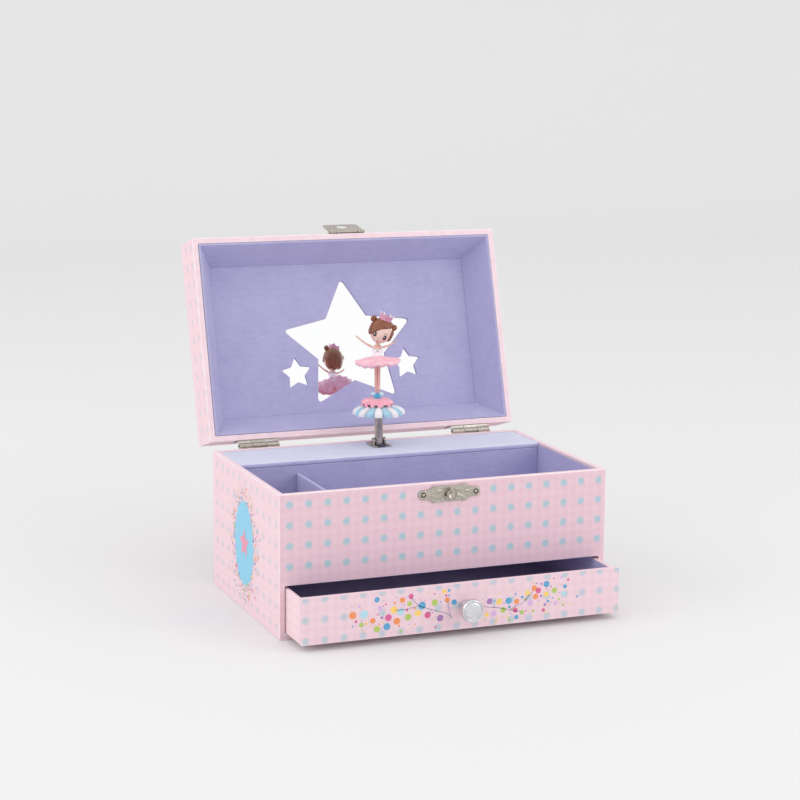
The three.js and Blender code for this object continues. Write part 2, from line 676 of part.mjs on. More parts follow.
// Mainspring in its fixed barrel.
const can = rodY(barrelRadius, barrelSpan, spindleX, arborZ, 36)
const hollow = rodY(barrelRadius - 0.8, [barrelSpan[0] + 1, barrelSpan[1] + 1], spindleX, arborZ, 36)
const canBore = rodY(arborRadius + running, [barrelSpan[0] - 1, barrelSpan[1]], spindleX, arborZ)
add('spring_barrel', cut(can, hollow, canBore), steel, 0.4, 1)

class SpiralCurve extends THREE.Curve {
  getPoint(share, target = new THREE.Vector3()) {
    const angle = share * 2 * Math.PI * 4
    const radius = arborRadius + 1 + share * (barrelRadius - arborRadius - 2.6)
    return target.set(spindleX + radius * Math.cos(angle), 0, arborZ + radius * Math.sin(angle))
  }
}
const springMiddle = (barrelSpan[0] + 1.6 + barrelSpan[1]) / 2
const springHalf = barrelSpan[1] - springMiddle - 0.6
const strip = outline([[-springHalf, -0.2], [springHalf, -0.2], [springHalf, 0.2], [-springHalf, 0.2]])
const spiral = new THREE.ExtrudeGeometry(strip, { steps: 80, extrudePath: new SpiralCurve() })
add('mainspring', spiral.translate(0, springMiddle, 0), steel, 0.3, 1)

// Pinned cylinder with its pinion and end wheel.
const drumSpan = [wheelSpan[0] - 1 - drumLength, wheelSpan[0] - 1]
const endWheelY = [crownFace + 0.7, crownFace + 0.7 + wheelThick]
const cylinderPieces = [
  rodY(drumRadius, drumSpan, cylinderX, arborZ, 32),
  rodY(1, [frameFrontY[0] - 0.5, frameBackY[1] + 0.5], cylinderX, arborZ, 16),
  plateXZ(gearOutline(cylinderPinionTeeth, gearModule, 0.5), [wheelSpan[0] - 0.3, wheelSpan[1] + 0.2])
    .translate(cylinderX, 0, arborZ),
  plateXZ(gearOutline(cylinderWheelTeeth, fineModule), endWheelY).translate(cylinderX, 0, arborZ),
]
const combPitch = (drumLength - 3) / combTeeth
const combStart = drumSpan[0] + 1.5
for (let track = 0; track < combTeeth; track++) {
  const y = combStart + (track + 0.5) * combPitch
  for (const turn of [0.13, 0.47, 0.78]) {
    const angle = 2 * Math.PI * (turn + track * 0.381)
    const pin = block([drumRadius - 0.6, drumRadius + pinReach], [-0.2, 0.2], [-0.2, 0.2])
    cylinderPieces.push(pin.rotateY(angle).translate(cylinderX, y, arborZ))
  }
}
add('music_cylinder', join(...cylinderPieces), brass, 0.3, 1)

// Comb: a steel plate whose teeth reach to the pins, on a post of the frame.
const combTip = cylinderX + drumRadius + pinReach + 0.4
const combRoot = combTip + 10
const combEnd = combRoot + 9
const combPoints = [[combEnd, combStart], [combEnd, combStart + combTeeth * combPitch]]
for (let track = combTeeth - 1; track >= 0; track--) {
  const y = combStart + track * combPitch
  combPoints.push([combRoot, y + combPitch - 0.15], [combTip, y + combPitch - 0.3],
    [combTip, y + 0.3], [combRoot, y + 0.15])
}
const combSpan = [arborZ - combThick / 2, arborZ + combThick / 2]
add('comb', plateXY(outline(combPoints), combSpan), steel, 0.25, 1)

// Governor: a pinion and a fly that brakes on the air.
const fly = block([-flyReach, flyReach], [drumSpan[0] + 2, drumSpan[1] - 3], [-0.35, 0.35])
add('governor', join(
  rodY(0.7, [frameFrontY[0] - 0.5, frameBackY[1] + 0.5], governorX, governorZ, 12),
  plateXZ(gearOutline(governorTeeth, fineModule, governorPhase()), [endWheelY[0] - 0.3, endWheelY[1] + 0.3])
    .translate(governorX, 0, governorZ),
  fly.translate(governorX, 0, governorZ)), brass, 0.35, 1)

// The governor's teeth, so that a gap faces the tooth of the end wheel on the line of centres.
function governorPhase() {
  const wheelPhase = degrees(governorDeg) / (2 * Math.PI / cylinderWheelTeeth)
  const facing = degrees(governorDeg + 180) / (2 * Math.PI / governorTeeth)
  return facing + 0.5 + (wheelPhase - Math.round(wheelPhase))
}

// Frame: a bed, two uprights with a bore for each arbor, and the comb's post.
const uprightX = [spindleX - barrelRadius - 2, governorX + 5]
const uprightTop = governorZ + 4
const frame = join(
  block([uprightX[0], combEnd + 2], [frameFrontY[0], frameBackY[1]], [frameFoot, bedTop]),
  block(uprightX, frameFrontY, [frameFoot, uprightTop]),
  block(uprightX, frameBackY, [frameFoot, uprightTop]),
  block([combRoot, combEnd], [combStart, combStart + combTeeth * combPitch], [frameFoot, combSpan[0] - seam]))
const boreSpan = [frameFrontY[0] - 2, frameBackY[1] + 2]
add('movement_frame', cut(frame,
  rodY(arborRadius + running, boreSpan, spindleX, arborZ),
  rodY(1 + running, boreSpan, cylinderX, arborZ, 16),
  rodY(0.7 + running, boreSpan, governorX, governorZ, 12)), steel, 0.5, 1)

// Upright drive shaft: a pinion on the crown, and a neck for the flexible drive.
const pinionZ = arborZ + crownPitch
const driveTop = shelfTop - 2
const neckRadius = 0.9
add('drive_shaft', join(
  rodZ(1.3, [pinionZ - crownWidth / 2 - 0.6, driveTop - 3], spindleX, spindleY),
  rodZ(neckRadius, [driveTop - 3.5, driveTop], spindleX, spindleY),
  plateXY(gearOutline(spindlePinionTeeth, gearModule, drivePhase()),
    [pinionZ - crownWidth / 2, pinionZ + crownWidth / 2]).translate(spindleX, spindleY, 0)), steel, 0.35, 1)

// A gap of the pinion faces the crown, towards -Y, where the crown has a tooth.
function drivePhase() {
  return -spindlePinionTeeth / 4 + 0.5
}

// ---------------------------------------------------------------- spindle
const bracketTop = shelfTop + seam + fittingThick
const earX = tubeRadius + trunnionRadius * 0.6
const earHoleRadius = trunnionRadius + running
const earRadius = earHoleRadius + 1
const bracketRim = 2.6
const bracketLength = slotFront + slotBack + bracketRim
const bracketMiddle = spindleY + slotBack + bracketRim - bracketLength / 2
const bracketWidth = 2 * (slotHalf + bracketRim)
const bracketShape = roundedRect(spindleX, bracketMiddle, bracketWidth, bracketLength, bracketRim - 0.2)
// The slot runs out at the front, so that the tube can lie down along it.
const bracketSlot = block(slotX, [slotY[0] - 1, slotY[1]], [shelfTop - 1, bracketTop + 1])
const bracketEars = [-1, 1].map((side) => {
  const along = [side * earX, side * (earX + earThick)].sort((a, b) => a - b)
  const ear = join(
    rodX(earRadius, along, spindleY, pivotZ),
    block(along, [spindleY - earRadius, spindleY + earRadius], [shelfTop + seam, pivotZ]))
  return ear.translate(spindleX, 0, 0)
})
const earBridges = [-1, 1].map((side) => {
  const along = [side * earX, side * (slotHalf + 1)].sort((a, b) => a - b)
  return block(along, [spindleY - earRadius, spindleY + earRadius], [shelfTop + seam, bracketTop])
    .translate(spindleX, 0, 0)
})
const bracketPlate = cut(plateXY(bracketShape, [shelfTop + seam, bracketTop]), bracketSlot)
const earHole = rodX(earHoleRadius, [-20, 20], spindleY, pivotZ)
add('spindle_bracket', cut(join(bracketPlate, ...bracketEars, ...earBridges), earHole), silver, 0.3, 1)

const tubeFoot = pivotZ - tubeBelowPivot
const trunnions = [-1, 1].map((side) => {
  const along = [side * (tubeRadius - 0.5), side * (earX + earThick)].sort((a, b) => a - b)
  return rodX(trunnionRadius, along, spindleY, pivotZ, 16).translate(spindleX, 0, 0)
})
const tubeOuter = rodZ(tubeRadius, [tubeFoot, shelfTop + tubeTop], spindleX, spindleY, 28)
const tubeInner = rodZ(tubeBore, [tubeFoot - 1, shelfTop + tubeTop + 1], spindleX, spindleY, 28)
add('spindle_tube', cut(join(tubeOuter, ...trunnions), tubeInner), steel, 0.3, 1)

// The coil grips the drive shaft's neck below and the dancer's rod above.
const shaftFoot = shelfTop + 6
const coilGrip = 1.3
const coilRise = shaftFoot - driveTop + 2 * coilGrip
class CoilCurve extends THREE.Curve {
  getPoint(share, target = new THREE.Vector3()) {
    const angle = share * 2 * Math.PI * coilTurns
    return target.set(coilRadius * Math.cos(angle), coilRadius * Math.sin(angle), share * coilRise)
  }
}
const wire = new THREE.Shape().absarc(0, 0, wireRadius, 0, 2 * Math.PI)
const coil = new THREE.ExtrudeGeometry(wire, { steps: 60, curveSegments: 3, extrudePath: new CoilCurve() })
add('drive_spring', coil.translate(spindleX, spindleY, driveTop - coilGrip), steel, 0.3, 1)

// ---------------------------------------------------------------- dancer
const figure = new THREE.Group()
figure.position.set(spindleX, spindleY, shelfTop)
figure.rotation.z = degrees(figureYawDeg)
const hubBore = shaftRadius + 0.35

inGroup(figure, part, () => {
  const skirtFoot = tubeTop + 0.4
  const skirtTop = skirtFoot + skirtHeight
  const ruffleFoot = skirtTop + seam
  add('dancer_shaft', rodZ(shaftRadius, [shaftFoot - shelfTop, bowTop + 0.4], 0, 0), steel, 0.3, 1)
  add('petal_skirt', turned([[hubBore, skirtFoot], [skirtRadius * 0.87, skirtFoot],
    [skirtRadius, skirtFoot + 1.4], [skirtRadius * 0.94, skirtFoot + 3.2], [9, skirtTop - 0.3],
    [hubBore, skirtTop]]), white, 0.8)

  // Pieces beside the spindle's axis, but bored on it for the dancer's rod.
  const beside = (profile, sides) => turned(profile, sides).translate(figureShift, 0, 0)
  const rodHole = rodZ(hubBore, [skirtTop, bowTop + 1], 0, 0)
  const ruffle = beside([[0, ruffleFoot], [ruffleRadius * 0.8, ruffleFoot],
    [ruffleRadius, ruffleFoot + 1], [ruffleRadius * 0.85, ruffleFoot + 2.2], [5, bowFoot - 0.5],
    [0, bowFoot - seam]])
  add('ruffle', cut(ruffle, rodHole), rose, 0.8)
  const bow = beside([[0, bowFoot], [bowRadius * 0.8, bowFoot], [bowRadius, (bowFoot + bowTop) / 2],
    [bowRadius * 0.8, bowTop], [0, bowTop]], 24)
  add('bow', cut(bow, rodHole), skyBlue, 0.6)

  const legSpan = [bowTop + 0.7, hipHeight]
  const toes = rodZ(legRadius - 0.05, [legSpan[0], legSpan[0] + 1], figureShift, 0, 16)
  const legRods = [-1, 1].map((side) => rodZ(legRadius, legSpan, figureShift + side * legApart, 0, 16))
  add('legs', join(...legRods, toes), skin, 0.5)
  add('tutu', beside([[0, hipHeight + seam], [tutuRadius * 0.5, hipHeight], [tutuRadius * 0.9, hipHeight - 0.2],
    [tutuRadius, hipHeight + 1.6], [tutuRadius * 0.86, hipHeight + 3.2], [7, waistHeight - 1.4],
    [3, waistHeight], [0, waistHeight]]), rose, 0.8)

  // Torso with raised arms.
  const shoulder = waistHeight + shoulderRise
  const bodiceFoot = waistHeight + seam
  const torso = beside([[0, bodiceFoot], [2.6, bodiceFoot], [shoulderRadius - 0.2, waistHeight + 3.9],
    [shoulderRadius, shoulder], [1.8, shoulder + 1.5], [1.5, shoulder + 2], [0, shoulder + 2]], 20)
  const arms = [leftHand, rightHand].map(([x, rise]) => {
    const from = new THREE.Vector3(Math.sign(x) * shoulderRadius * 0.7, 0, shoulder - 0.4)
    const reach = new THREE.Vector3(x, 0, shoulder + rise).sub(from)
    const arm = new THREE.CylinderGeometry(armRadius * 0.65, armRadius, reach.length(), 10)
      .translate(0, reach.length() / 2, 0)
    const turn = new THREE.Quaternion().setFromUnitVectors(new THREE.Vector3(0, 1, 0), reach.clone().normalize())
    return arm.applyQuaternion(turn).translate(from.x + figureShift, from.y, from.z)
  })
  add('torso', join(torso, ...arms), white, 0.5)

  // Head tipped to one side, with hair and crown.
  const headGroup = new THREE.Group()
  headGroup.position.set(figureShift + 0.3, 0, shoulder + headRise)
  headGroup.rotation.y = degrees(headTiltDeg)
  inGroup(headGroup, figure, () => {
    const ball = (x, y, z) => new THREE.SphereGeometry(1, 18, 12).rotateX(Math.PI / 2).scale(x, y, z)
    const around = (gap) => ball(...headRadii.map((radius) => radius + gap))
    add('head', ball(...headRadii), skin, 0.5)
    const faceOpening = around(hairGap).translate(0, -6.6, -4.6)
    const belowEars = block([-12, 12], [-12, 12], [-14, -4])
    const cap = cut(around(hairGap + hairThick), around(hairGap), faceOpening, belowEars)
    const bun = (x, z) => new THREE.SphereGeometry(bunRadius, 10, 7).translate(x, 1, z)
    add('hair', cut(join(cap, bun(-8.4, 6.6), bun(9.4, 3.6)), around(hairGap)), brown, 0.5)
    const crownFoot = headRadii[2] + hairGap + hairThick + seam
    add('crown', turned([[crownRadius - 1.9, crownFoot], [crownRadius - 0.7, crownFoot],
      [crownRadius, crownFoot + crownHeight], [crownRadius - 0.7, crownFoot + crownHeight]], 24), rose, 0.4)
  })
})

export default part
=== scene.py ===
import json
import math
import random
import bmesh
import bpy
from mathutils import Matrix, Vector


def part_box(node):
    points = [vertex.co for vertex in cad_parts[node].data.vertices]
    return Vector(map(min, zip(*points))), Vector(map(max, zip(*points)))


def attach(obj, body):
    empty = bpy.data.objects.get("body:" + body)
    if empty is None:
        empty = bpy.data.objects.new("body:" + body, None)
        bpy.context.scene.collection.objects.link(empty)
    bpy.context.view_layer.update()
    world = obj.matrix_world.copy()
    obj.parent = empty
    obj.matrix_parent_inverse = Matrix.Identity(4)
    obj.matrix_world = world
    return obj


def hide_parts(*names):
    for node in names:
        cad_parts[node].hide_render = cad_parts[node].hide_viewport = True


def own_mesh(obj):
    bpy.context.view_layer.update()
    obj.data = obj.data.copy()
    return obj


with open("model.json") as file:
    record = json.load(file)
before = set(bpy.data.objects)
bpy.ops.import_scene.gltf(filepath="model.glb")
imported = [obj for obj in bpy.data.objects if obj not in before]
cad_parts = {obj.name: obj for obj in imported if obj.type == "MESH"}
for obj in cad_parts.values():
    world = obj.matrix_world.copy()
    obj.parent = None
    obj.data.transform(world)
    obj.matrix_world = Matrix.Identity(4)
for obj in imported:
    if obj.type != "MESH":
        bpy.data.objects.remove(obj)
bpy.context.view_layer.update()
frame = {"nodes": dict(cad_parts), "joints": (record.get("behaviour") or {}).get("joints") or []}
nodes = frame["nodes"]
jointList = {joint["name"]: joint for joint in frame["joints"]}
mm = 0.001


# small helpers for meshes
def linkPiece(name, mesh, *materials):
    mesh.name = name
    piece = bpy.data.objects.new(name, mesh)
    bpy.context.scene.collection.objects.link(piece)
    for material in materials:
        mesh.materials.append(material)
    return piece


def plainMesh(piece):
    # the modifiers' result becomes the mesh itself
    graph = bpy.context.evaluated_depsgraph_get()
    mesh = bpy.data.meshes.new_from_object(piece.evaluated_get(graph))
    piece.modifiers.clear()
    piece.data = mesh
    mesh.name = piece.name
    return piece


def meshFrom(points, faces, merge=True, outward=True):
    mesh = bpy.data.meshes.new("shape")
    mesh.from_pydata([tuple(p) for p in points], [], faces)
    work = bmesh.new()
    work.from_mesh(mesh)
    if merge:
        bmesh.ops.remove_doubles(work, verts=work.verts, dist=1e-6)
    if outward:
        bmesh.ops.recalc_face_normals(work, faces=work.faces)
    work.to_mesh(mesh)
    work.free()
    return mesh


def boxMesh(low, high):
    points = [(x, y, z) for z in (low[2], high[2]) for y in (low[1], high[1]) for x in (low[0], high[0])]
    faces = [(0, 2, 3, 1), (4, 5, 7, 6), (0, 1, 5, 4), (2, 6, 7, 3), (0, 4, 6, 2), (1, 3, 7, 5)]
    return meshFrom(points, faces)


def subdivided(piece, levels=1):
    surface = piece.modifiers.new("smoothing", "SUBSURF")
    surface.levels = surface.render_levels = levels
    return plainMesh(piece)


def thickened(piece, thick):
    wall = piece.modifiers.new("thickness", "SOLIDIFY")
    wall.thickness = thick
    wall.offset = 0
    return plainMesh(piece)


def smoothFaces(piece, sharpDeg=40):
    for face in piece.data.polygons:
        face.use_smooth = True
    piece.data.set_sharp_from_angle(angle=math.radians(sharpDeg))
    return piece


def cleanCopy(nodeName, newName, *materials):
    # a copy of a frame solid with its triangles joined into flat faces
    mesh = nodes[nodeName].data.copy()
    mesh.materials.clear()
    work = bmesh.new()
    work.from_mesh(mesh)
    bmesh.ops.remove_doubles(work, verts=work.verts, dist=2e-6)
    flat = math.radians(0.6)
    bmesh.ops.dissolve_limit(work, angle_limit=flat, verts=work.verts, edges=work.edges)
    work.to_mesh(mesh)
    work.free()
    for attribute in [a.name for a in mesh.attributes if a.name.startswith("custom_normal")]:
        mesh.attributes.remove(mesh.attributes[attribute])
    return linkPiece(newName, mesh, *materials)


def roundEdges(piece, width, segments=3, angleDeg=30, edgeSlot=-1):
    for face in piece.data.polygons:
        face.use_smooth = True
    bevel = piece.modifiers.new("rounding", "BEVEL")
    bevel.width = width
    bevel.segments = segments
    bevel.limit_method = "ANGLE"
    bevel.angle_limit = math.radians(angleDeg)
    bevel.harden_normals = True
    bevel.material = edgeSlot
    return plainMesh(piece)


def cutAway(piece, *cutters):
    for mesh in cutters:
        tool = linkPiece("cutter", mesh)
        cut = piece.modifiers.new("cut", "BOOLEAN")
        cut.operation = "DIFFERENCE"
        cut.solver = "EXACT"
        cut.object = tool
        plainMesh(piece)
        bpy.data.objects.remove(tool)
    return piece


def printUv(piece):
    # paper lies flat on each face, so each corner's print place is its place along that face, in metres
    layer = piece.data.uv_layers.new(name="print")
    for face in piece.data.polygons:
        side = max(range(3), key=lambda axis: abs(face.normal[axis]))
        for corner in face.loop_indices:
            place = piece.data.vertices[piece.data.loops[corner].vertex_index].co
            layer.data[corner].uv = {0: place.yz, 1: place.xz, 2: place.xy}[side]


def finishPiece(piece, body, slotName, *replaced):
    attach(piece, body)
    if replaced:
        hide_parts(*replaced)
    return piece


def boxIn(nodeNames, turnBack=Matrix.Identity(4)):
    # the box round some frame solids, seen in a turned frame
    points = [turnBack @ v.co for name in nodeNames for v in nodes[name].data.vertices]
    low = Vector([min(p[axis] for p in points) for axis in range(3)])
    high = Vector([max(p[axis] for p in points) for axis in range(3)])
    return low, high


def lathe(profile, steps=48):
    # profile of (radius, height) pairs, from axis to axis or closed on itself
    points = []
    for step in range(steps):
        angle = 2 * math.pi * step / steps
        for radius, height in profile:
            points.append((radius * math.cos(angle), radius * math.sin(angle), height))
    count = len(profile)
    closed = profile[0][0] > 0 and profile[-1][0] > 0
    faces = []
    for step in range(steps):
        after = (step + 1) % steps
        for row in range(count if closed else count - 1):
            nextRow = (row + 1) % count
            faces.append((step * count + row, after * count + row,
                          after * count + nextRow, step * count + nextRow))
    return meshFrom(points, faces)


def bandFaces(rings, columns, outward=True):
    # faces between neighbouring rings of points, each ring closed on itself
    faces = []
    for ring in range(rings - 1):
        for column in range(columns):
            after = (column + 1) % columns
            a, b = ring * columns, (ring + 1) * columns
            corners = (a + column, b + column, b + after, a + after)
            faces.append(corners if outward else corners[::-1])
    return faces


def joinMeshes(*meshes):
    work = bmesh.new()
    for mesh in meshes:
        work.from_mesh(mesh)
    joined = bpy.data.meshes.new("joined")
    work.to_mesh(joined)
    work.free()
    return joined


def placed(mesh, matrix):
    mesh.transform(matrix)
    return mesh


def tubeMesh(path, radii, sides=10):
    # a closed round tube through some points, with a radius at each
    points = []
    aside = Vector((0, 1, 0.01)).normalized()
    for index, centre in enumerate(path):
        before = path[max(index - 1, 0)]
        after = path[min(index + 1, len(path) - 1)]
        along = (after - before).normalized()
        aside = (aside - along * aside.dot(along)).normalized()
        other = along.cross(aside)
        for step in range(sides):
            angle = 2 * math.pi * step / sides
            points.append(centre + (aside * math.cos(angle) + other * math.sin(angle)) * radii[index])
    faces = bandFaces(len(path), sides, outward=False)
    faces.append(tuple(reversed(range(sides))))
    faces.append(tuple(range((len(path) - 1) * sides, len(path) * sides)))
    return meshFrom(points, faces)


def ellipsoid(centre, radii, columns=32, rows=20, reshape=None):
    points = []
    for row in range(rows + 1):
        tilt = math.pi * row / rows
        for column in range(columns):
            turn = 2 * math.pi * column / columns
            way = Vector((math.sin(tilt) * math.cos(turn), math.sin(tilt) * math.sin(turn), math.cos(tilt)))
            size = reshape(way) if reshape else 1
            points.append(Vector(centre) + Vector([way[axis] * radii[axis] * size for axis in range(3)]))
    return meshFrom(points, bandFaces(rows + 1, columns))


# small helpers for materials
def tone(code):
    # a colour written as it looks on a screen, turned into light values
    parts = [int(code[i:i + 2], 16) / 255 for i in (0, 2, 4)]
    return tuple(p / 12.92 if p <= 0.04045 else ((p + 0.055) / 1.055) ** 2.4 for p in parts) + (1,)


def newMaterial(name, colour, roughness, **sockets):
    material = bpy.data.materials.new(name)
    material.use_nodes = True
    shader = material.node_tree.nodes["Principled BSDF"]
    shader.inputs["Base Color"].default_value = tone(colour)
    shader.inputs["Roughness"].default_value = roughness
    for socket, value in sockets.items():
        shader.inputs[socket.replace("_", " ")].default_value = value
    return material, material.node_tree, shader


def addNode(tree, kind, inputs=None, **settings):
    node = tree.nodes.new(kind)
    for setting, value in settings.items():
        setattr(node, setting, value)
    for socket, value in (inputs or {}).items():
        if isinstance(value, bpy.types.NodeSocket):
            tree.links.new(value, node.inputs[socket])
        else:
            node.inputs[socket].default_value = value
    return node


def calc(tree, operation, *values):
    return addNode(tree, "ShaderNodeMath", dict(enumerate(values)), operation=operation).outputs[0]


def vectorCalc(tree, operation, *values):
    node = addNode(tree, "ShaderNodeVectorMath", dict(enumerate(values)), operation=operation)
    return node.outputs["Value" if operation == "LENGTH" else "Vector"]


def objectPlace(tree, stretch=(1, 1, 1)):
    place = addNode(tree, "ShaderNodeTexCoord").outputs["Object"]
    return addNode(tree, "ShaderNodeMapping", {"Vector": place, "Scale": stretch}).outputs["Vector"]


def noise(tree, place, perMetre, detail=3, roughness=0.6):
    return addNode(tree, "ShaderNodeTexNoise", {
        "Vector": place, "Scale": perMetre, "Detail": detail, "Roughness": roughness}).outputs["Fac"]


def between(tree, value, fromLow, fromHigh, toLow=0.0, toHigh=1.0):
    return addNode(tree, "ShaderNodeMapRange", {
        "Value": value, "From Min": fromLow, "From Max": fromHigh, "To Min": toLow, "To Max": toHigh}).outputs[0]


def mixColour(tree, share, first, second, blend="MIX"):
    node = addNode(tree, "ShaderNodeMix", {0: share, 6: first, 7: second}, data_type="RGBA", blend_type=blend)
    return node.outputs[2]


def addBump(tree, shader, height, strength, distance):
    bump = addNode(tree, "ShaderNodeBump", {"Height": height, "Strength": strength, "Distance": distance})
    tree.links.new(bump.outputs["Normal"], shader.inputs["Normal"])


def setLook(tree, shader, colour, roughness, height, strength, distance):
    # colour, roughness and fine relief of a material
    tree.links.new(colour, shader.inputs["Base Color"])
    tree.links.new(roughness, shader.inputs["Roughness"])
    addBump(tree, shader, height, strength, distance)


# papers
paperLook = {
    "dot": "9FC4D0", "dotPitchAcross": 13.33, "dotPitchUp": 13.95, "dotRadius": 2.5, "dotBlur": 0.75,
    "checkPitch": 6.665, "roughness": 0.55,
}


def paperMaterial(name, pale, deep, dotOrigin=None, dotInk=1.0, dotsAbove=-1000):
    # printed paper: faint crossing stripes, rows of soft dots, and the paper's own fibre
    look = paperLook
    material, tree, shader = newMaterial(name, pale, look["roughness"])
    shader.inputs["Specular IOR Level"].default_value = 0.35
    uv = addNode(tree, "ShaderNodeUVMap", uv_map="print").outputs["UV"]
    place = vectorCalc(tree, "MULTIPLY", uv, (1000, 1000, 1000))
    parts = addNode(tree, "ShaderNodeSeparateXYZ", {"Vector": place})
    bands = []
    for axis in ("X", "Y"):
        wave = calc(tree, "SINE", calc(tree, "MULTIPLY", parts.outputs[axis], math.pi / look["checkPitch"] * 2))
        bands.append(between(tree, wave, -0.6, 0.6))
    check = calc(tree, "MULTIPLY", calc(tree, "ADD", *bands), 0.5)
    ground = mixColour(tree, check, tone(pale), tone(deep))
    blotch = noise(tree, place, 0.06, 4)
    ground = mixColour(tree, between(tree, blotch, 0.3, 0.7, 0.0, 0.6), ground, tone(deep))
    if dotOrigin:
        pitch = (look["dotPitchAcross"], look["dotPitchUp"], 1)
        shifted = vectorCalc(tree, "SUBTRACT", place, (dotOrigin[0], dotOrigin[1], 0))
        cell = vectorCalc(tree, "FRACTION", vectorCalc(tree, "DIVIDE", shifted, pitch))
        away = vectorCalc(tree, "MULTIPLY", vectorCalc(tree, "SUBTRACT", cell, (0.5, 0.5, 0)), pitch)
        reach = vectorCalc(tree, "LENGTH", vectorCalc(tree, "MULTIPLY", away, (1, 1, 0)))
        inside = between(tree, reach, look["dotRadius"] + look["dotBlur"], look["dotRadius"] - look["dotBlur"])
        ink = calc(tree, "MULTIPLY", inside, between(tree, noise(tree, place, 0.9, 3), 0.3, 0.7, 0.8, 1.0))
        ink = calc(tree, "MULTIPLY", ink, calc(tree, "GREATER_THAN", parts.outputs["Y"], dotsAbove))
        ground = mixColour(tree, calc(tree, "MULTIPLY", ink, dotInk), ground, tone(look["dot"]))
    fibre = noise(tree, place, 2.4, 5, 0.7)
    ground = mixColour(tree, 0.14, ground, mixColour(tree, fibre, tone("E9C3CE"), tone("FFFFFF")), "SOFT_LIGHT")
    rough = between(tree, noise(tree, place, 0.5, 4), 0.3, 0.7,
                    look["roughness"] - 0.08, look["roughness"] + 0.08)
    setLook(tree, shader, ground, rough, fibre, 0.12, 0.0001)
    return material


def plainPaper(name, light, dark, roughness=0.6):
    material, tree, shader = newMaterial(name, light, roughness)
    place = objectPlace(tree)
    wear = noise(tree, place, 160, 4)
    fibre = noise(tree, place, 2200, 4, 0.7)
    colour = mixColour(tree, between(tree, wear, 0.3, 0.7), tone(light), tone(dark))
    setLook(tree, shader, mixColour(tree, 0.1, colour, mixColour(tree, fibre, tone("C0A0A8"), tone("FFFFFF"))),
            between(tree, wear, 0.3, 0.7, roughness - 0.1, roughness + 0.1), fibre, 0.15, 0.0001)
    return material


# flock, metals, paints
def flockMaterial(name, light, dark, sheen=0.25):
    material, tree, shader = newMaterial(name, light, 0.95)
    shader.inputs["Sheen Weight"].default_value = sheen
    shader.inputs["Sheen Roughness"].default_value = 0.45
    shader.inputs["Specular IOR Level"].default_value = 0.15
    place = objectPlace(tree)
    brushed = noise(tree, objectPlace(tree, (0.35, 1, 1)), 420, 4, 0.65)
    fibres = noise(tree, place, 2600, 3, 0.7)
    patches = noise(tree, place, 45, 3)
    share = calc(tree, "ADD", calc(tree, "MULTIPLY", brushed, 0.5), calc(tree, "MULTIPLY", fibres, 0.35))
    share = calc(tree, "ADD", share, calc(tree, "MULTIPLY", patches, 0.3))
    colour = mixColour(tree, between(tree, share, 0.36, 0.8), tone(dark), tone(light))
    height = calc(tree, "ADD", fibres, calc(tree, "MULTIPLY", brushed, 0.6))
    setLook(tree, shader, colour, between(tree, patches, 0.3, 0.7, 0.86, 1.0), height, 0.45, 0.0003)
    return material


def metalMaterial(name, light, dark, roughness, stretch=(1, 1, 1), perMetre=900, bump=0.08):
    material, tree, shader = newMaterial(name, light, roughness)
    shader.inputs["Metallic"].default_value = 1
    streak = noise(tree, objectPlace(tree, stretch), perMetre, 5, 0.65)
    smudge = noise(tree, objectPlace(tree), 180, 3)
    rough = calc(tree, "ADD", between(tree, streak, 0.3, 0.7, roughness * 0.7, roughness * 1.2),
                 between(tree, smudge, 0.45, 0.75, 0.0, roughness * 0.5))
    setLook(tree, shader, mixColour(tree, between(tree, streak, 0.3, 0.7), tone(light), tone(dark)), rough,
            streak, bump, 0.0001)
    return material


def paintMaterial(name, light, dark, roughness=0.42, perMetre=260, coat=0.15, bump=0.05):
    material, tree, shader = newMaterial(name, light, roughness)
    shader.inputs["Coat Weight"].default_value = coat
    shader.inputs["Coat Roughness"].default_value = 0.3
    place = objectPlace(tree)
    brush = noise(tree, place, perMetre, 4, 0.6)
    fine = noise(tree, place, 2500, 3)
    setLook(tree, shader, mixColour(tree, between(tree, brush, 0.32, 0.68), tone(light), tone(dark)),
            between(tree, fine, 0.3, 0.7, roughness - 0.07, roughness + 0.07), brush, bump, 0.0002)
    return material


def clothMaterial(name, light=None, dark=None, attribute=None, perMetre=1500):
    # thin dyed cloth, its colour from the two tones or from the piece's own dye attribute
    material, tree, shader = newMaterial(name, light or "FFFFFF", 0.85)
    shader.inputs["Sheen Weight"].default_value = 0.2
    place = objectPlace(tree)
    weave = noise(tree, objectPlace(tree, (1, 1, 3)), perMetre, 3)
    cloud = noise(tree, place, 220, 3)
    if attribute:
        dye = addNode(tree, "ShaderNodeAttribute", attribute_name=attribute).outputs["Color"]
        shade = mixColour(tree, 1.0, dye, mixColour(tree, cloud, tone("E4DDE2"), tone("FFFFFF")), "MULTIPLY")
    else:
        shade = mixColour(tree, between(tree, cloud, 0.32, 0.68), tone(light), tone(dark))
    setLook(tree, shader, shade, between(tree, weave, 0.3, 0.7, 0.75, 0.95), weave, 0.25, 0.0001)
    return material


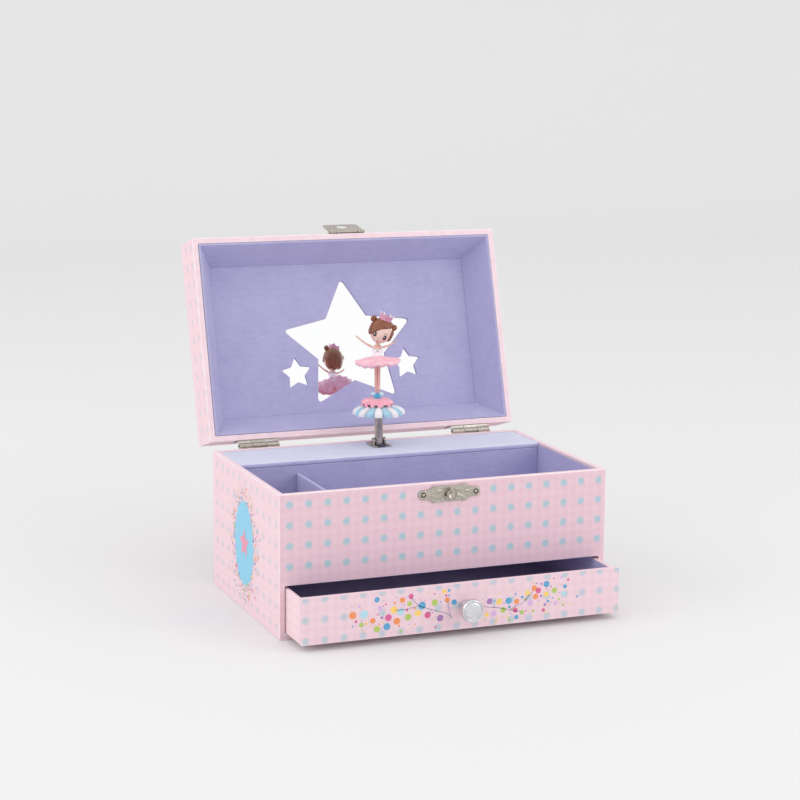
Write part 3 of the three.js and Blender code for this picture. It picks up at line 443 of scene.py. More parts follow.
halfPitch = (paperLook["dotPitchAcross"] / 2, paperLook["dotPitchUp"] / 2)
dotRows = {"across": 0.55, "acrossSide": -2 + halfPitch[0], "topRow": 91.6 + halfPitch[1],
           "drawerRow": 35.5 + halfPitch[1], "lidRow": 5.0, "frontFoot": 42}
caseDots = (dotRows["across"], dotRows["topRow"])
# one printed paper in copies of different tone, one for each face: the front and back copies are the darkest,
# painted shade, the side and lid copies the lightest, painted light, and the drawer front between
frontPaper = paperMaterial("dotted_paper_front", "E9CAD4", "E3C0CB", caseDots, 0.95, dotRows["frontFoot"])
backPaper = paperMaterial("dotted_paper_back", "E9CAD4", "E3C0CB", caseDots, 0.8)
sidePaper = paperMaterial("dotted_paper_side", "F4D7DF", "F0CFD8",
                          (dotRows["acrossSide"], dotRows["topRow"]), 0.42)
drawerPaper = paperMaterial("dotted_paper_drawer", "EDD1D9", "E7C8D2",
                            (dotRows["across"], dotRows["drawerRow"]), 0.7)
lidPaper = paperMaterial("dotted_paper_lid", "F4D8DF", "EFCED8", (dotRows["across"], dotRows["lidRow"]), 0.8)
checkPaper = paperMaterial("checked_paper", "F8DEE4", "F2D2DB")
edgePaper = plainPaper("paper_edge", "FBEDF0", "F3D9E0")
rimPaper = plainPaper("paper_rim", "F7DDE5", "EFCFD9")
lilacFlock = flockMaterial("lilac_flock_card", "C0BCDF", "A7A3CC")
paleFlock = flockMaterial("pale_lilac_flock_card", "DBDDEE", "C9CAE2")
# a lighter copy of the lilac flock for the drawer's inside: painted light in its deep shade
drawerFlockLit = flockMaterial("drawer_flock_lit_copy", "CBC7E6", "B5B0DB", 0.25)
platedMetal = metalMaterial("plated_metal_finish", "D2CCC2", "9C9388", 0.2)
# a dark finish for the discs round the catch's nails: painted shade of the nail holes
nailHoleShade = metalMaterial("nail_hole_painted_shade", "4A423C", "2A2522", 0.5)
chrome = metalMaterial("chrome_finish", "E6E7EA", "D5D6DA", 0.1, perMetre=300, bump=0.02)
tubeSteel = metalMaterial("drawn_steel", "DBD3C8", "8A827C", 0.26, (1, 1, 0.03), 1100)
plainSteel = metalMaterial("plain_steel", "B9BABC", "8E8F92", 0.3)
brassFinish = metalMaterial("brass_finish", "D8B46A", "AF8A45", 0.28)
print("materials ready")


# case: one papered shell over the boards
case = {"rounding": 0.7 * mm, "keyHole": 3 * mm, "past": 5 * mm,
        "boards": ["base_board", "left_wall", "right_wall", "front_panel", "back_wall"]}
caseLow, caseHigh = boxIn(case["boards"])
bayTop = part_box("front_panel")[0].z
inLow = Vector((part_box("left_wall")[1].x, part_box("front_panel")[1].y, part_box("base_board")[1].z))
inHigh = Vector((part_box("right_wall")[0].x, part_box("back_wall")[0].y, caseHigh.z + 2 * case["past"]))
keyHub = Vector(jointList["key_turn"]["pos_m"])
quarterTurn = Matrix.Rotation(math.pi / 2, 4, "X")
keyHole = lathe([(radius * case["keyHole"], height * 6 * mm)
                 for radius, height in ((0, -1), (1, -1), (1, 1), (0, 1))], 32)
placed(keyHole, Matrix.Translation((keyHub.x, (inHigh.y + caseHigh.y) / 2, keyHub.z)) @ quarterTurn)
caseShell = linkPiece("case_shell", boxMesh(caseLow, caseHigh),
                      frontPaper, edgePaper, sidePaper, rimPaper, backPaper)
cutAway(caseShell, boxMesh(inLow, inHigh),
        boxMesh((inLow.x, caseLow.y - case["past"], inLow.z), (inHigh.x, inLow.y + case["past"], bayTop)),
        keyHole)
faceSlot = {"front": 0, "edge": 1, "side": 2, "rim": 3, "other": 4}


def paperFaces(piece):
    # sides of the box take the side print, a lighter copy of the paper with painted light, and faces that look up
    # or down the plain paper
    for face in piece.data.polygons:
        if abs(face.normal.z) > 0.7:
            face.material_index = faceSlot["rim"]
        elif abs(face.normal.x) > 0.7:
            face.material_index = faceSlot["side"]


paperFaces(caseShell)
for face in caseShell.data.polygons:
    if face.normal.y > 0.7 and face.center.y > inHigh.y:
        face.material_index = faceSlot["other"]
roundEdges(caseShell, case["rounding"], 3, edgeSlot=faceSlot["edge"])
printUv(caseShell)
finishPiece(caseShell, "case", "printed_paper", *case["boards"])
deckBoard = roundEdges(cleanCopy("deck", "deck_board", rimPaper), 0.3 * mm, 2)
finishPiece(deckBoard, "case", "printed_paper", "deck")
print("case shell made")


# lid: made shut, then turned open about the hinge
lid = {"rounding": 0.8 * mm, "boards": ["lid_top", "lid_left", "lid_right", "lid_front", "lid_back"]}
hinge = Vector(jointList["lid_hinge"]["pos_m"])
openAngle = math.radians(jointList["lid_hinge"]["range_deg"][1])
toRest = Matrix.Translation(hinge) @ Matrix.Rotation(-openAngle, 4, "X") @ Matrix.Translation(-hinge)
toShut = toRest.inverted()
lidLow, lidHigh = boxIn(lid["boards"], toShut)
cavityLow = Vector((boxIn(["lid_left"], toShut)[1].x, boxIn(["lid_front"], toShut)[1].y,
                    lidLow.z - 2 * case["past"]))
cavityHigh = Vector((boxIn(["lid_right"], toShut)[0].x, boxIn(["lid_back"], toShut)[0].y,
                     boxIn(["lid_top"], toShut)[0].z))
lidShell = linkPiece("lid_shell", boxMesh(lidLow, lidHigh), frontPaper, edgePaper, sidePaper, rimPaper, lidPaper)
cutAway(lidShell, boxMesh(cavityLow, cavityHigh))
paperFaces(lidShell)
for face in lidShell.data.polygons:
    if face.normal.z > 0.7:
        face.material_index = faceSlot["other"]
roundEdges(lidShell, lid["rounding"], 4, edgeSlot=faceSlot["edge"])
printUv(lidShell)
lidShell.data.transform(toRest)
finishPiece(lidShell, "lid", "printed_paper", *lid["boards"])
print("lid shell made")


# flock-covered card linings, with softly rounded edges
linings = {
    "floor_lining": ("tray_floor", lilacFlock, "lilac_flock", "case", 0.3),
    "wall_lining": ("tray_walls", lilacFlock, "lilac_flock", "case", 0.5),
    "divider": ("bin_divider", lilacFlock, "lilac_flock", "case", 1.0),
    "shelf_top": ("platform_top", paleFlock, "pale_lilac_flock", "case", 0.4),
    "shelf_front": ("platform_front", lilacFlock, "lilac_flock", "case", 0.5),
    "lid_liner": ("lid_lining", lilacFlock, "lilac_flock", "lid", 0.2),
    "star_panel": ("star_window_panel", lilacFlock, "lilac_flock", "lid", 0.35),
    "drawer_pad": ("drawer_lining", drawerFlockLit, "navy_flock", "drawer", 0.3),
}


rimGap = {"near": 0.1 * mm, "reach": 0.26 * mm}


def meetWalls(lining):
    # the lining's outer edge at the rim is pushed out to the lid's walls
    low, high = boxIn(["lid_liner"], toShut)
    for point in lining.data.vertices:
        place = toShut @ point.co
        if place.z - low.z < rimGap["near"]:
            for axis in (0, 1):
                if min(place[axis] - low[axis], high[axis] - place[axis]) < rimGap["near"]:
                    place[axis] += math.copysign(rimGap["reach"], place[axis] - (low[axis] + high[axis]) / 2)
            point.co = toRest @ place


for node, (pieceName, finish, slotName, body, rounding) in linings.items():
    lining = cleanCopy(node, pieceName, finish)
    if node == "lid_liner":
        meetWalls(lining)
    if node == "shelf_top":
        lining.data.materials.append(lilacFlock)
        for face in lining.data.polygons:
            face.material_index = 0 if face.normal.z > 0.75 else 1
    roundEdges(lining, rounding * mm, 3)
    finishPiece(lining, body, slotName, node)
print("linings made")


# mirror: its thin sheet is a little bowed, and a broad, shallow relief stands for that
mirrorBow = {"bendRadius": 1.6, "turn": 0.075, "lean": 0.018}
mirrorGlass, mirrorTree, mirrorShader = newMaterial("mirror_silvering", "F7F8FA", 0.02)
mirrorShader.inputs["Metallic"].default_value = 1
smear = noise(mirrorTree, objectPlace(mirrorTree), 60, 4)
across = addNode(mirrorTree, "ShaderNodeSeparateXYZ", {"Vector": objectPlace(mirrorTree)})
bend = calc(mirrorTree, "DIVIDE", calc(mirrorTree, "POWER", calc(mirrorTree, "ABSOLUTE", across.outputs["X"]), 2.0),
            -2 * mirrorBow["bendRadius"])
lean = calc(mirrorTree, "ADD", calc(mirrorTree, "MULTIPLY", across.outputs["Z"], -mirrorBow["lean"]),
            calc(mirrorTree, "MULTIPLY", across.outputs["X"], mirrorBow["turn"]))
setLook(mirrorTree, mirrorShader, mixColour(mirrorTree, smear, tone("FFFFFF"), tone("FBFCFD")),
        between(mirrorTree, smear, 0.4, 0.8, 0.01, 0.07), calc(mirrorTree, "ADD", bend, lean), 1.0, 1.0)
mirrorPane = roundEdges(cleanCopy("mirror", "mirror_pane", mirrorGlass), 0.3 * mm, 2)
finishPiece(mirrorPane, "lid", "mirror_glass", "mirror")


# drawer: papered outside, and inside a lighter copy of the lilac flock, painted light in the drawer's deep shade
drawerMiddle = sum(boxIn(["drawer_front", "drawer_back"]), Vector()) / 2
for node in ("drawer_front", "drawer_left", "drawer_right", "drawer_back", "drawer_bottom"):
    outer = drawerPaper if node == "drawer_front" else checkPaper
    board = cleanCopy(node, node.replace("drawer", "drawer_board"), outer, edgePaper, drawerFlockLit, rimPaper)
    for face in board.data.polygons:
        inward = (drawerMiddle - face.center).dot(face.normal)
        level = abs(face.normal.z) > 0.7
        if level and node != "drawer_bottom":
            face.material_index = faceSlot["rim"]
        elif inward > 0 and not level:
            face.material_index = faceSlot["side"]
    roundEdges(board, (0.8 if node == "drawer_front" else 0.4) * mm, 3, edgeSlot=faceSlot["edge"])
    printUv(board)
    finishPiece(board, "drawer", "printed_paper", node)
print("drawer made")


# metalwork: the tongue's back is hollowed, so that it closes over the raised work of the catch
tongue = {"hollow": 0.28 * mm, "near": 0.05 * mm, "above": 3 * mm}
haspJoint = jointList["hasp_hinge"]
haspPin = Vector(haspJoint["pos_m"])
haspShut = (toShut @ Matrix.Translation(haspPin)
            @ Matrix.Rotation(math.radians(haspJoint["range_deg"][1]), 4, Vector(haspJoint["axis"]))
            @ Matrix.Translation(-haspPin))


def hollowTongue(piece):
    catchFace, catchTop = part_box("catch_plate")[0].y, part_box("catch_plate")[1].z
    for vertex in piece.data.vertices:
        place = haspShut @ vertex.co
        if abs(place.y - catchFace) < tongue["near"] and place.z < catchTop + tongue["above"]:
            place.y -= tongue["hollow"]
            vertex.co = haspShut.inverted() @ place


for node, (pieceName, finish, slotName, body, rounding) in {
        "catch_plate": ("catch_escutcheon", platedMetal, "plated_metal", "case", 0.22),
        "hasp_plate": ("hasp_back_plate", platedMetal, "plated_metal", "lid", 0.15),
        "hasp_flap": ("hasp_tongue", platedMetal, "plated_metal", "hasp", 0.2),
        "spindle_bracket": ("spindle_fitting", platedMetal, "plated_metal", "case", 0.18),
        "movement_frame": ("movement_bed", plainSteel, "steel", "case", 0.2),
        "comb": ("comb_plate", plainSteel, "steel", "case", 0.08),
        "winding_key": ("butterfly_key", platedMetal, "plated_metal", "key", 0.25),
        }.items():
    metal = cleanCopy(node, pieceName, finish)
    if node == "hasp_flap":
        hollowTongue(metal)
    finishPiece(roundEdges(metal, rounding * mm, 2), body, slotName, node)


def dressNode(node, finish):
    solid = nodes[node]
    solid.data.materials.clear()
    solid.data.materials.append(finish)


for node, finish in {
        "left_hinge_case_leaf": platedMetal, "left_hinge_lid_leaf": platedMetal,
        "right_hinge_case_leaf": platedMetal, "right_hinge_lid_leaf": platedMetal,
        "left_hinge_pin": plainSteel, "right_hinge_pin": plainSteel, "hasp_pin": plainSteel,
        "spring_barrel": brassFinish, "mainspring": plainSteel, "great_wheel": brassFinish,
        "music_cylinder": brassFinish, "governor": brassFinish, "drive_shaft": plainSteel,
        "drive_spring": plainSteel, "dancer_shaft": plainSteel, "knob_screw": plainSteel, "spindle_tube": tubeSteel,
        }.items():
    dressNode(node, finish)
print("metalwork made")


# nails, set by a node tree at the points of a host mesh
nailLook = {"headRadius": 0.95 * mm, "headHeight": 0.5 * mm, "belowTop": 5.3 * mm, "aboveFoot": 5 * mm}


def nailTree():
    tree = bpy.data.node_groups.new("nail_heads", "GeometryNodeTree")
    face = tree.interface
    face.new_socket("Geometry", in_out="INPUT", socket_type="NodeSocketGeometry")
    sockets = {}
    for name, kind in (("Head Radius", "NodeSocketFloat"), ("Head Height", "NodeSocketFloat"),
                       ("Facing", "NodeSocketVector"), ("Finish", "NodeSocketMaterial")):
        sockets[name] = face.new_socket(name, in_out="INPUT", socket_type=kind).identifier
    face.new_socket("Geometry", in_out="OUTPUT", socket_type="NodeSocketGeometry")
    given = tree.nodes.new("NodeGroupInput")
    ball = addNode(tree, "GeometryNodeMeshUVSphere", {"Segments": 16, "Rings": 8, "Radius": 1.0})
    size = addNode(tree, "ShaderNodeCombineXYZ", {
        "X": given.outputs["Head Radius"], "Y": given.outputs["Head Radius"], "Z": given.outputs["Head Height"]})
    head = addNode(tree, "GeometryNodeTransform", {"Geometry": ball.outputs["Mesh"], "Scale": size.outputs[0]})
    spots = addNode(tree, "GeometryNodeMeshToPoints", {"Mesh": given.outputs["Geometry"]})
    turn = addNode(tree, "FunctionNodeAlignRotationToVector", {"Vector": given.outputs["Facing"]}, axis="Z")
    heads = addNode(tree, "GeometryNodeInstanceOnPoints", {
        "Points": spots.outputs["Points"], "Instance": head.outputs["Geometry"],
        "Rotation": turn.outputs["Rotation"]})
    real = addNode(tree, "GeometryNodeRealizeInstances", {"Geometry": heads.outputs["Instances"]})
    smooth = addNode(tree, "GeometryNodeSetShadeSmooth", {"Geometry": real.outputs["Geometry"]})
    coat = addNode(tree, "GeometryNodeSetMaterial", {
        "Geometry": smooth.outputs["Geometry"], "Material": given.outputs["Finish"]})
    done = tree.nodes.new("NodeGroupOutput")
    tree.links.new(coat.outputs["Geometry"], done.inputs[0])
    return tree, sockets


nailNodes, nailSockets = nailTree()


def setNails(name, places, facing, body, finish, slotName, radius=None, height=None):
    host = linkPiece(name, meshFrom(places, [], merge=False, outward=False))
    nails = host.modifiers.new("nails", "NODES")
    nails.node_group = nailNodes
    nails[nailSockets["Head Radius"]] = radius or nailLook["headRadius"]
    nails[nailSockets["Head Height"]] = height or nailLook["headHeight"]
    nails[nailSockets["Facing"]] = tuple(facing)
    nails[nailSockets["Finish"]] = finish
    plainMesh(host)
    return finishPiece(host, body, slotName)


catchLow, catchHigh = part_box("catch_plate")
catchMiddle = (catchLow + catchHigh) / 2
# raised work on the catch plate: rings round the stud and the nails, and scrolls on each side,
# each scroll given by its place, length, width and turn
relief = {"stud": 4.3, "ear": 2.3, "earAside": 19.2, "wire": 0.42, "height": 0.24,
          "scrolls": [(7.6, 1.9, 2.4, 1.3, 20), (7.4, -2.2, 2.8, 1.2, -24),
                      (12.4, 1.0, 2.2, 0.8, -14), (12.6, -1.3, 2.0, 0.8, 16)]}
earPlaces = [side * relief["earAside"] * mm for side in (-1, 1)]
setNails("catch_nails", [(catchMiddle.x + aside, catchLow.y, catchMiddle.z) for aside in earPlaces],
         (0, -1, 0), "case", platedMetal, "plated_metal", 1.2 * mm, 0.7 * mm)


def ringMesh(radius, wire, steps=40):
    corners = [step * math.pi / 6 for step in range(12)]
    rise = min(wire, relief["height"])
    return lathe([((radius + wire * math.cos(a)) * mm, rise * math.sin(a) * mm) for a in corners], steps)


plateFace = Matrix.Translation((catchMiddle.x, catchLow.y, catchMiddle.z)) @ quarterTurn
raised = [ringMesh(relief["stud"], relief["wire"]), ringMesh(relief["stud"] + 1.0, relief["wire"] * 0.6)]
for side, aside in zip((-1, 1), earPlaces):
    raised.append(placed(ringMesh(relief["ear"], relief["wire"]), Matrix.Translation((aside, 0, 0))))
    for x, y, length, width, turnDeg in relief["scrolls"]:
        scroll = ellipsoid((0, 0, 0), (length * mm, width * mm, relief["height"] * mm), 24, 12,
                           lambda way: 1 - 0.16 * math.cos(7 * way.x))
        raised.append(placed(scroll, Matrix.Translation((side * x * mm, y * mm, 0))
                             @ Matrix.Rotation(math.radians(side * turnDeg), 4, "Z")))
reliefPiece = linkPiece("catch_relief", placed(joinMeshes(*raised), plateFace), platedMetal)
smoothFaces(reliefPiece, 60)
finishPiece(reliefPiece, "case", "plated_metal")
# dark discs round the nails stand for the shade in the nail holes: painted shade
recesses = [placed(lathe([(0, -0.1 * mm), (1.8 * mm, -0.1 * mm), (1.7 * mm, 0.14 * mm), (0, 0.1 * mm)], 24),
                   Matrix.Translation((aside, 0, 0))) for aside in earPlaces]
finishPiece(linkPiece("catch_recesses", placed(joinMeshes(*recesses), plateFace), nailHoleShade),
            "case", "plated_metal")
studLow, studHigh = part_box("catch_stud")
studAt = Matrix.Translation(((studLow.x + studHigh.x) / 2, studHigh.y, (studLow.z + studHigh.z) / 2))
studReach = (studHigh.y - studLow.y) / mm
studLine = [(0, 0), (2.5, 0), (2.4, 0.5), (2.0, 1.2), (2.3, 1.9), (3.0, 2.3), (3.1, 2.8), (2.7, studReach),
            (2.1, studReach - 0.1), (1.3, studReach - 0.9), (0.5, studReach - 1.1), (0, studReach - 1.0)]
stud = linkPiece("catch_button", placed(lathe([(x * mm, y * mm) for x, y in studLine], 40),
                                        studAt @ quarterTurn), platedMetal)
smoothFaces(stud, 50)
finishPiece(stud, "case", "plated_metal", "catch_stud")
for side in ("left", "right"):
    low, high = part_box(side + "_hinge_case_leaf")
    rows = [(low.x + share * (high.x - low.x), high.y - nailLook["belowTop"], low.z + nailLook["aboveFoot"])
            for share in (0.2, 0.8)]
    setNails(side + "_hinge_nails", rows, (0, 1, 0), "case", platedMetal, "plated_metal")
print("nails set")


# knob: a polished mushroom with a flat front
knobLow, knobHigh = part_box("knob")
knobFoot = ((knobLow.x + knobHigh.x) / 2, knobHigh.y, (knobLow.z + knobHigh.z) / 2)
knobAxis = Matrix.Translation(knobFoot) @ quarterTurn
reach = knobHigh.y - knobLow.y
knobRadius = (knobHigh.x - knobLow.x) / 2
knobLine = [(0.0, 0.0), (0.52, 0.0), (0.56, 0.02), (0.55, 0.1), (0.42, 0.24), (0.38, 0.36), (0.44, 0.47),
            (0.72, 0.56), (0.93, 0.66), (1.0, 0.76), (0.99, 0.86), (0.95, 0.94), (0.89, 0.985), (0.84, 0.98),
            (0.81, 0.93), (0.77, 0.92), (0.73, 0.97), (0.66, 0.995), (0.3, 1.0), (0.0, 1.0)]
knobMesh = lathe([(r * knobRadius, h * reach) for r, h in knobLine], 72)
knobPiece = linkPiece("chrome_knob_turned", placed(knobMesh, knobAxis), chrome)
smoothFaces(subdivided(knobPiece), 60)
finishPiece(knobPiece, "drawer", "chrome_knob", "knob")


# print on the drawer: a spray of dots on thin stems
inkTones = {"orange": "F08A3C", "blue": "2E9CCB", "green": "A9C64C", "yellow": "F6CF5E", "magenta": "D9488F",
            "plum": "9C6BB0", "mauve": "D3AEDD", "sky": "A9D9E6"}
# the big dots of each ink by their place and radius, and the stems by their points
spray = {
    "film": 0.06 * mm, "seed": 4, "small": 130, "tries": 6000, "spread": (5, 4), "gap": 0.5,
    "low": 6.5, "high": 34, "inner": 10, "outer": 90,
    "sizes": (0.35, 0.45, 0.6, 0.8, 1.0),
    "smallInks": ["orange", "green", "magenta", "plum", "yellow", "mauve", "blue"],
    "big": {
        "orange": [(-80, 22, 2.5), (-66, 17, 1.9), (-49, 15, 2.4), (-45, 29, 1.9), (-13, 26, 1.8), (38, 20, 1.9),
                   (51, 28, 2.0), (52, 22, 2.0)],
        "blue": [(-31, 24, 2.6), (-56, 12, 2.5), (-8, 24, 1.9), (32, 21, 2.3), (60, 30, 2.2), (74, 27, 1.4),
                 (38, 9, 1.6), (-63, 31, 1.9)],
        "green": [(-74, 15, 1.7), (-63, 11, 2.2), (-41, 17, 2.3), (-22, 25, 2.3), (-40, 26, 1.7), (28, 15, 2.0),
                  (66, 25, 2.0), (42, 12, 1.5)],
        "yellow": [(-51, 23, 2.5), (-34, 19, 2.3), (-15, 32, 1.6), (25, 21, 2.2), (46, 25, 1.9), (60, 23, 1.9),
                   (16, 13, 1.6)],
        "magenta": [(-39, 31, 1.8), (-55, 18, 2.4), (-27, 17, 2.3), (54, 26, 2.0), (37, 14, 1.8), (58, 12, 1.3)],
        "plum": [(-18, 14, 2.3), (18, 22, 2.1)],
        "mauve": [(21, 13, 2.1), (48, 18, 2.2), (-61, 25, 1.7), (67, 16, 1.5)],
        "sky": [(-72, 22, 2.8), (-46, 21, 2.3), (73, 22, 1.7)],
    },
    "stems": [[(-9, 13), (-14, 17), (-24, 20.5), (-33, 24), (-39, 30)], [(-10, 14), (-12, 20), (-12.5, 25)],
              [(-33, 24), (-43, 22.5), (-50, 22.5)], [(10, 21.5), (15, 18.5), (24, 17), (33, 14.5), (41, 12.5)],
              [(33, 14.5), (38, 17), (44, 19.5), (50, 26)], [(-24, 20.5), (-27, 18)], [(44, 19.5), (47, 24)]],
}


def inkFilm(name, marks, body, toPlace):
    # printed marks as a thin film of ink on a flat face, each with its own ink tone
    points, faces, tones = [], [], []
    for outline, ink in marks:
        first = len(points)
        points += [toPlace(x, y) for x, y in outline]
        faces.append(tuple(range(first, len(points))))
        tones.append(tone(inkTones.get(ink, ink)))
    piece = linkPiece(name, meshFrom(points, faces, merge=False, outward=False), inkMaterial)
    layer = piece.data.color_attributes.new("ink", "FLOAT_COLOR", "CORNER")
    for face, colour in zip(piece.data.polygons, tones):
        for corner in face.loop_indices:
            layer.data[corner].color = colour
    return finishPiece(piece, body, "printed_paper")


def disc(x, y, radius, sides=20):
    return [(x + radius * math.cos(2 * math.pi * i / sides), y + radius * math.sin(2 * math.pi * i / sides))
            for i in range(sides)]


def strip(line, width):
    # a stem's outline: out along one side of its line and back along the other
    left, right = [], []
    for index, (x, y) in enumerate(line):
        before, after = line[max(index - 1, 0)], line[min(index + 1, len(line) - 1)]
        length = math.hypot(after[0] - before[0], after[1] - before[1])
        aside = ((before[1] - after[1]) / length * width / 2, (after[0] - before[0]) / length * width / 2)
        left.append((x + aside[0], y + aside[1]))
        right.append((x - aside[0], y - aside[1]))
    return left + right[::-1]


def smoothLine(line, steps=6):
    # a soft curve through the points
    out = []
    for index in range(len(line) - 1):
        p0, p1 = line[max(index - 1, 0)], line[index]
        p2, p3 = line[index + 1], line[min(index + 2, len(line) - 1)]
        for step in range(steps):
            t = step / steps
            out.append(tuple(0.5 * (2 * b + (c - a) * t + (2 * a - 5 * b + 4 * c - d) * t ** 2
                                    + (3 * b - a - 3 * c + d) * t ** 3) for a, b, c, d in zip(p0, p1, p2, p3)))
    return out + [line[-1]]


inkMaterial, inkTree, inkShader = newMaterial("printing_ink", "FFFFFF", 0.45)
inkColour = addNode(inkTree, "ShaderNodeAttribute", attribute_name="ink").outputs["Color"]
inkGrain = noise(inkTree, objectPlace(inkTree), 1400, 4)
inkFade = between(inkTree, inkGrain, 0.35, 0.75, 0.0, 0.22)
setLook(inkTree, inkShader, mixColour(inkTree, inkFade, inkColour, tone("F9E6EB")),
        between(inkTree, inkGrain, 0.3, 0.7, 0.38, 0.55), inkGrain, 0.1, 0.0001)

draw = random.Random(spray["seed"])
marks = [(strip(smoothLine(stem), 0.45), "8E86A8") for stem in spray["stems"]]
bigDots = [(x, z, radius, ink) for ink, dots in spray["big"].items() for x, z, radius in dots]
marks += [(disc(x, z, radius), ink) for x, z, radius, ink in bigDots]
tried = 0
smallDots = []
while len(smallDots) < spray["small"] and tried < spray["tries"]:
    tried += 1
    x, z, radius, _ = draw.choice(bigDots)
    x, z = x + draw.gauss(0, spray["spread"][0]), z + draw.gauss(0, spray["spread"][1])
    size = draw.choice(spray["sizes"])
    apart = all(math.hypot(x - a, z - b) > size + c + spray["gap"] for a, b, c, _ in bigDots + smallDots)
    if apart and spray["low"] < z < spray["high"] and spray["inner"] < abs(x) < spray["outer"]:
        smallDots.append((x, z, size, draw.choice(spray["smallInks"])))
marks += [(disc(x, z, radius, 12), ink) for x, z, radius, ink in smallDots]
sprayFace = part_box("drawer_front")[0].y - spray["film"]
inkFilm("drawer_spray", marks, "drawer", lambda x, z: (x * mm, sprayFace, z * mm))


# print on each side: an oval ground with a star, ringed by dots
medallion = {"middle": (1.0, 48.0), "halfWidth": 21, "halfHeight": 30, "lobes": 22, "lobeShare": 0.9 / 25,
             "ground": "7CCDEC", "starReach": 10.5, "starWaist": 0.5, "star": "E98FA8", "dots": 300, "seed": 9,
             "tries": 9000, "spread": (-0.05, 0.75, 0.04), "shake": 0.6, "upShare": 0.72, "gap": 0.25,
             "sizes": (0.4, 0.55, 0.7, 0.9, 1.3), "farFrom": 1.2, "farSize": 0.7,
             "inks": spray["smallInks"] + ["blue", "orange", "yellow"]}


def medallionMarks():
    look = medallion
    cx, cz = look["middle"]
    oval = []
    for step in range(264):
        angle = 2 * math.pi * step / 264
        lobe = 1 + look["lobeShare"] * math.cos(look["lobes"] * angle)
        across = look["halfWidth"] * lobe * math.cos(angle)
        up = look["halfHeight"] * lobe * math.sin(angle)
        oval.append((cx + across, cz + up))
    star = []
    for step in range(10):
        reach = look["starReach"] * (1 if step % 2 == 0 else look["starWaist"])
        angle = math.pi / 2 + 2 * math.pi * step / 10
        star.append((cx + reach * math.cos(angle), cz + reach * math.sin(angle)))
    pick = random.Random(look["seed"])
    dots = []
    tried = 0
    while len(dots) < look["dots"] and tried < look["tries"]:
        tried += 1
        angle = pick.uniform(0, 2 * math.pi)
        out = 1 + pick.triangular(*look["spread"])
        x = cx + look["halfWidth"] * out * math.cos(angle) + pick.gauss(0, look["shake"])
        z = cz + look["halfHeight"] * (1 + (out - 1) * look["upShare"]) * math.sin(angle)
        size = pick.choice(look["sizes"]) * (1.0 if out < look["farFrom"] else look["farSize"])
        if all(math.hypot(x - a, z - b) > size + c + look["gap"] for a, b, c, _ in dots):
            dots.append((x, z, size, pick.choice(look["inks"])))
    return {"ground": [(oval, look["ground"])],
            "dots": [(star, look["star"])] + [(disc(x, z, size, 12), ink) for x, z, size, ink in dots]}


for side, face, outward in (("left", caseLow.x, -1), ("right", caseHigh.x, 1)):
    for layer, (part, marksHere) in enumerate(medallionMarks().items()):
        inkFilm(side + "_medallion_" + part, marksHere, "case",
                lambda y, z, at=face + outward * (layer + 1) * spray["film"]: (at, y * mm, z * mm))
print("prints made")


# dancer: each piece is made upright on its own axis, then set on the spindle
figure = {"yawDeg": -21.8, "platform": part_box("shelf_top")[1].z, "headTiltDeg": 22, "beside": -1.2}
spindle = Vector(jointList["dancer_turn"]["pos_m"])
onSpindle = Matrix.Translation((spindle.x, spindle.y, figure["platform"])) @ Matrix.Rotation(
    math.radians(figure["yawDeg"]), 4, "Z")
besideSpindle = onSpindle @ Matrix.Translation((figure["beside"] * mm, 0, 0))


def pleatedRing(profile, steps, wave):
    # a turned cloth shape: profile is (radius, height) from the middle out, and wave lifts and pushes each point
    points = []
    for row, (radius, height) in enumerate(profile):
        share = row / (len(profile) - 1)
        for step in range(steps):
            angle = 2 * math.pi * step / steps
            out, up = wave(angle, share)
            points.append(((radius + out) * math.cos(angle), (radius + out) * math.sin(angle), height + up))
    return meshFrom([Vector(p) * mm for p in points], bandFaces(len(profile), steps), outward=False)


def curveOf(rows, curve):
    return [curve(row / (rows - 1)) for row in range(rows)]


def clothPiece(name, mesh, thick, at, *materials):
    return smoothFaces(thickened(linkPiece(name, placed(mesh, at), *materials), thick), 75)


petal = {"cut": 46, "count": 16, "inner": 3.4, "outer": 18.6, "rim": 24.4, "rise": 5.4, "droop": 33.75, "puff": 1.5,
         "notch": 5.2, "white": "FDFCFD", "blue": "B2E0F1"}


def petalWave(angle, share):
    # lobes with round ends: white ones stand out, and blue ones lie a little shorter and lower between them
    signed = math.cos(angle * petal["count"] / 2)
    rounded = math.sqrt(abs(signed))
    end = max(0, share - 0.25) / 0.75
    notch = -petal["notch"] * (1 - rounded) ** 1.2 * end
    puff = petal["puff"] * (rounded - 0.55) * math.sin(math.pi * min(1, 0.12 + 0.8 * share))
    longer = (0.35 if signed > 0 else -0.45 + 0.4 * math.sin(5 * angle + 0.8)) * end
    return notch + longer, puff + 0.35 * share * math.sin(angle * 3 + 0.7) + longer * 0.4


def petalCurve(share):
    radius = petal["inner"] + (petal["outer"] - petal["inner"]) * math.sin(share * math.pi / 2) ** 0.92
    return radius, petal["rim"] + petal["rise"] * (1 - share ** 1.3) - petal["droop"] * max(0, share - 0.8) ** 2


petalCloth = clothMaterial("petal_cloth", attribute="dye", perMetre=1800)
petals = clothPiece("petal_skirt_cloth", pleatedRing(curveOf(23, petalCurve), petal["count"] * 14, petalWave),
                    0.5 * mm, onSpindle, petalCloth)
dye = petals.data.color_attributes.new("dye", "FLOAT_COLOR", "CORNER")
backTurn = onSpindle.inverted()
for face in petals.data.polygons:
    place = backTurn @ face.center
    lobeNumber = math.floor((math.atan2(place.y, place.x) / (2 * math.pi) * petal["count"]) + 0.5)
    colour = tone(petal["blue"] if lobeNumber % 2 else petal["white"])
    for corner in face.loop_indices:
        dye.data[corner].color = colour
finishPiece(petals, "dancer", "white_petals", "petal_skirt")
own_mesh(petals)

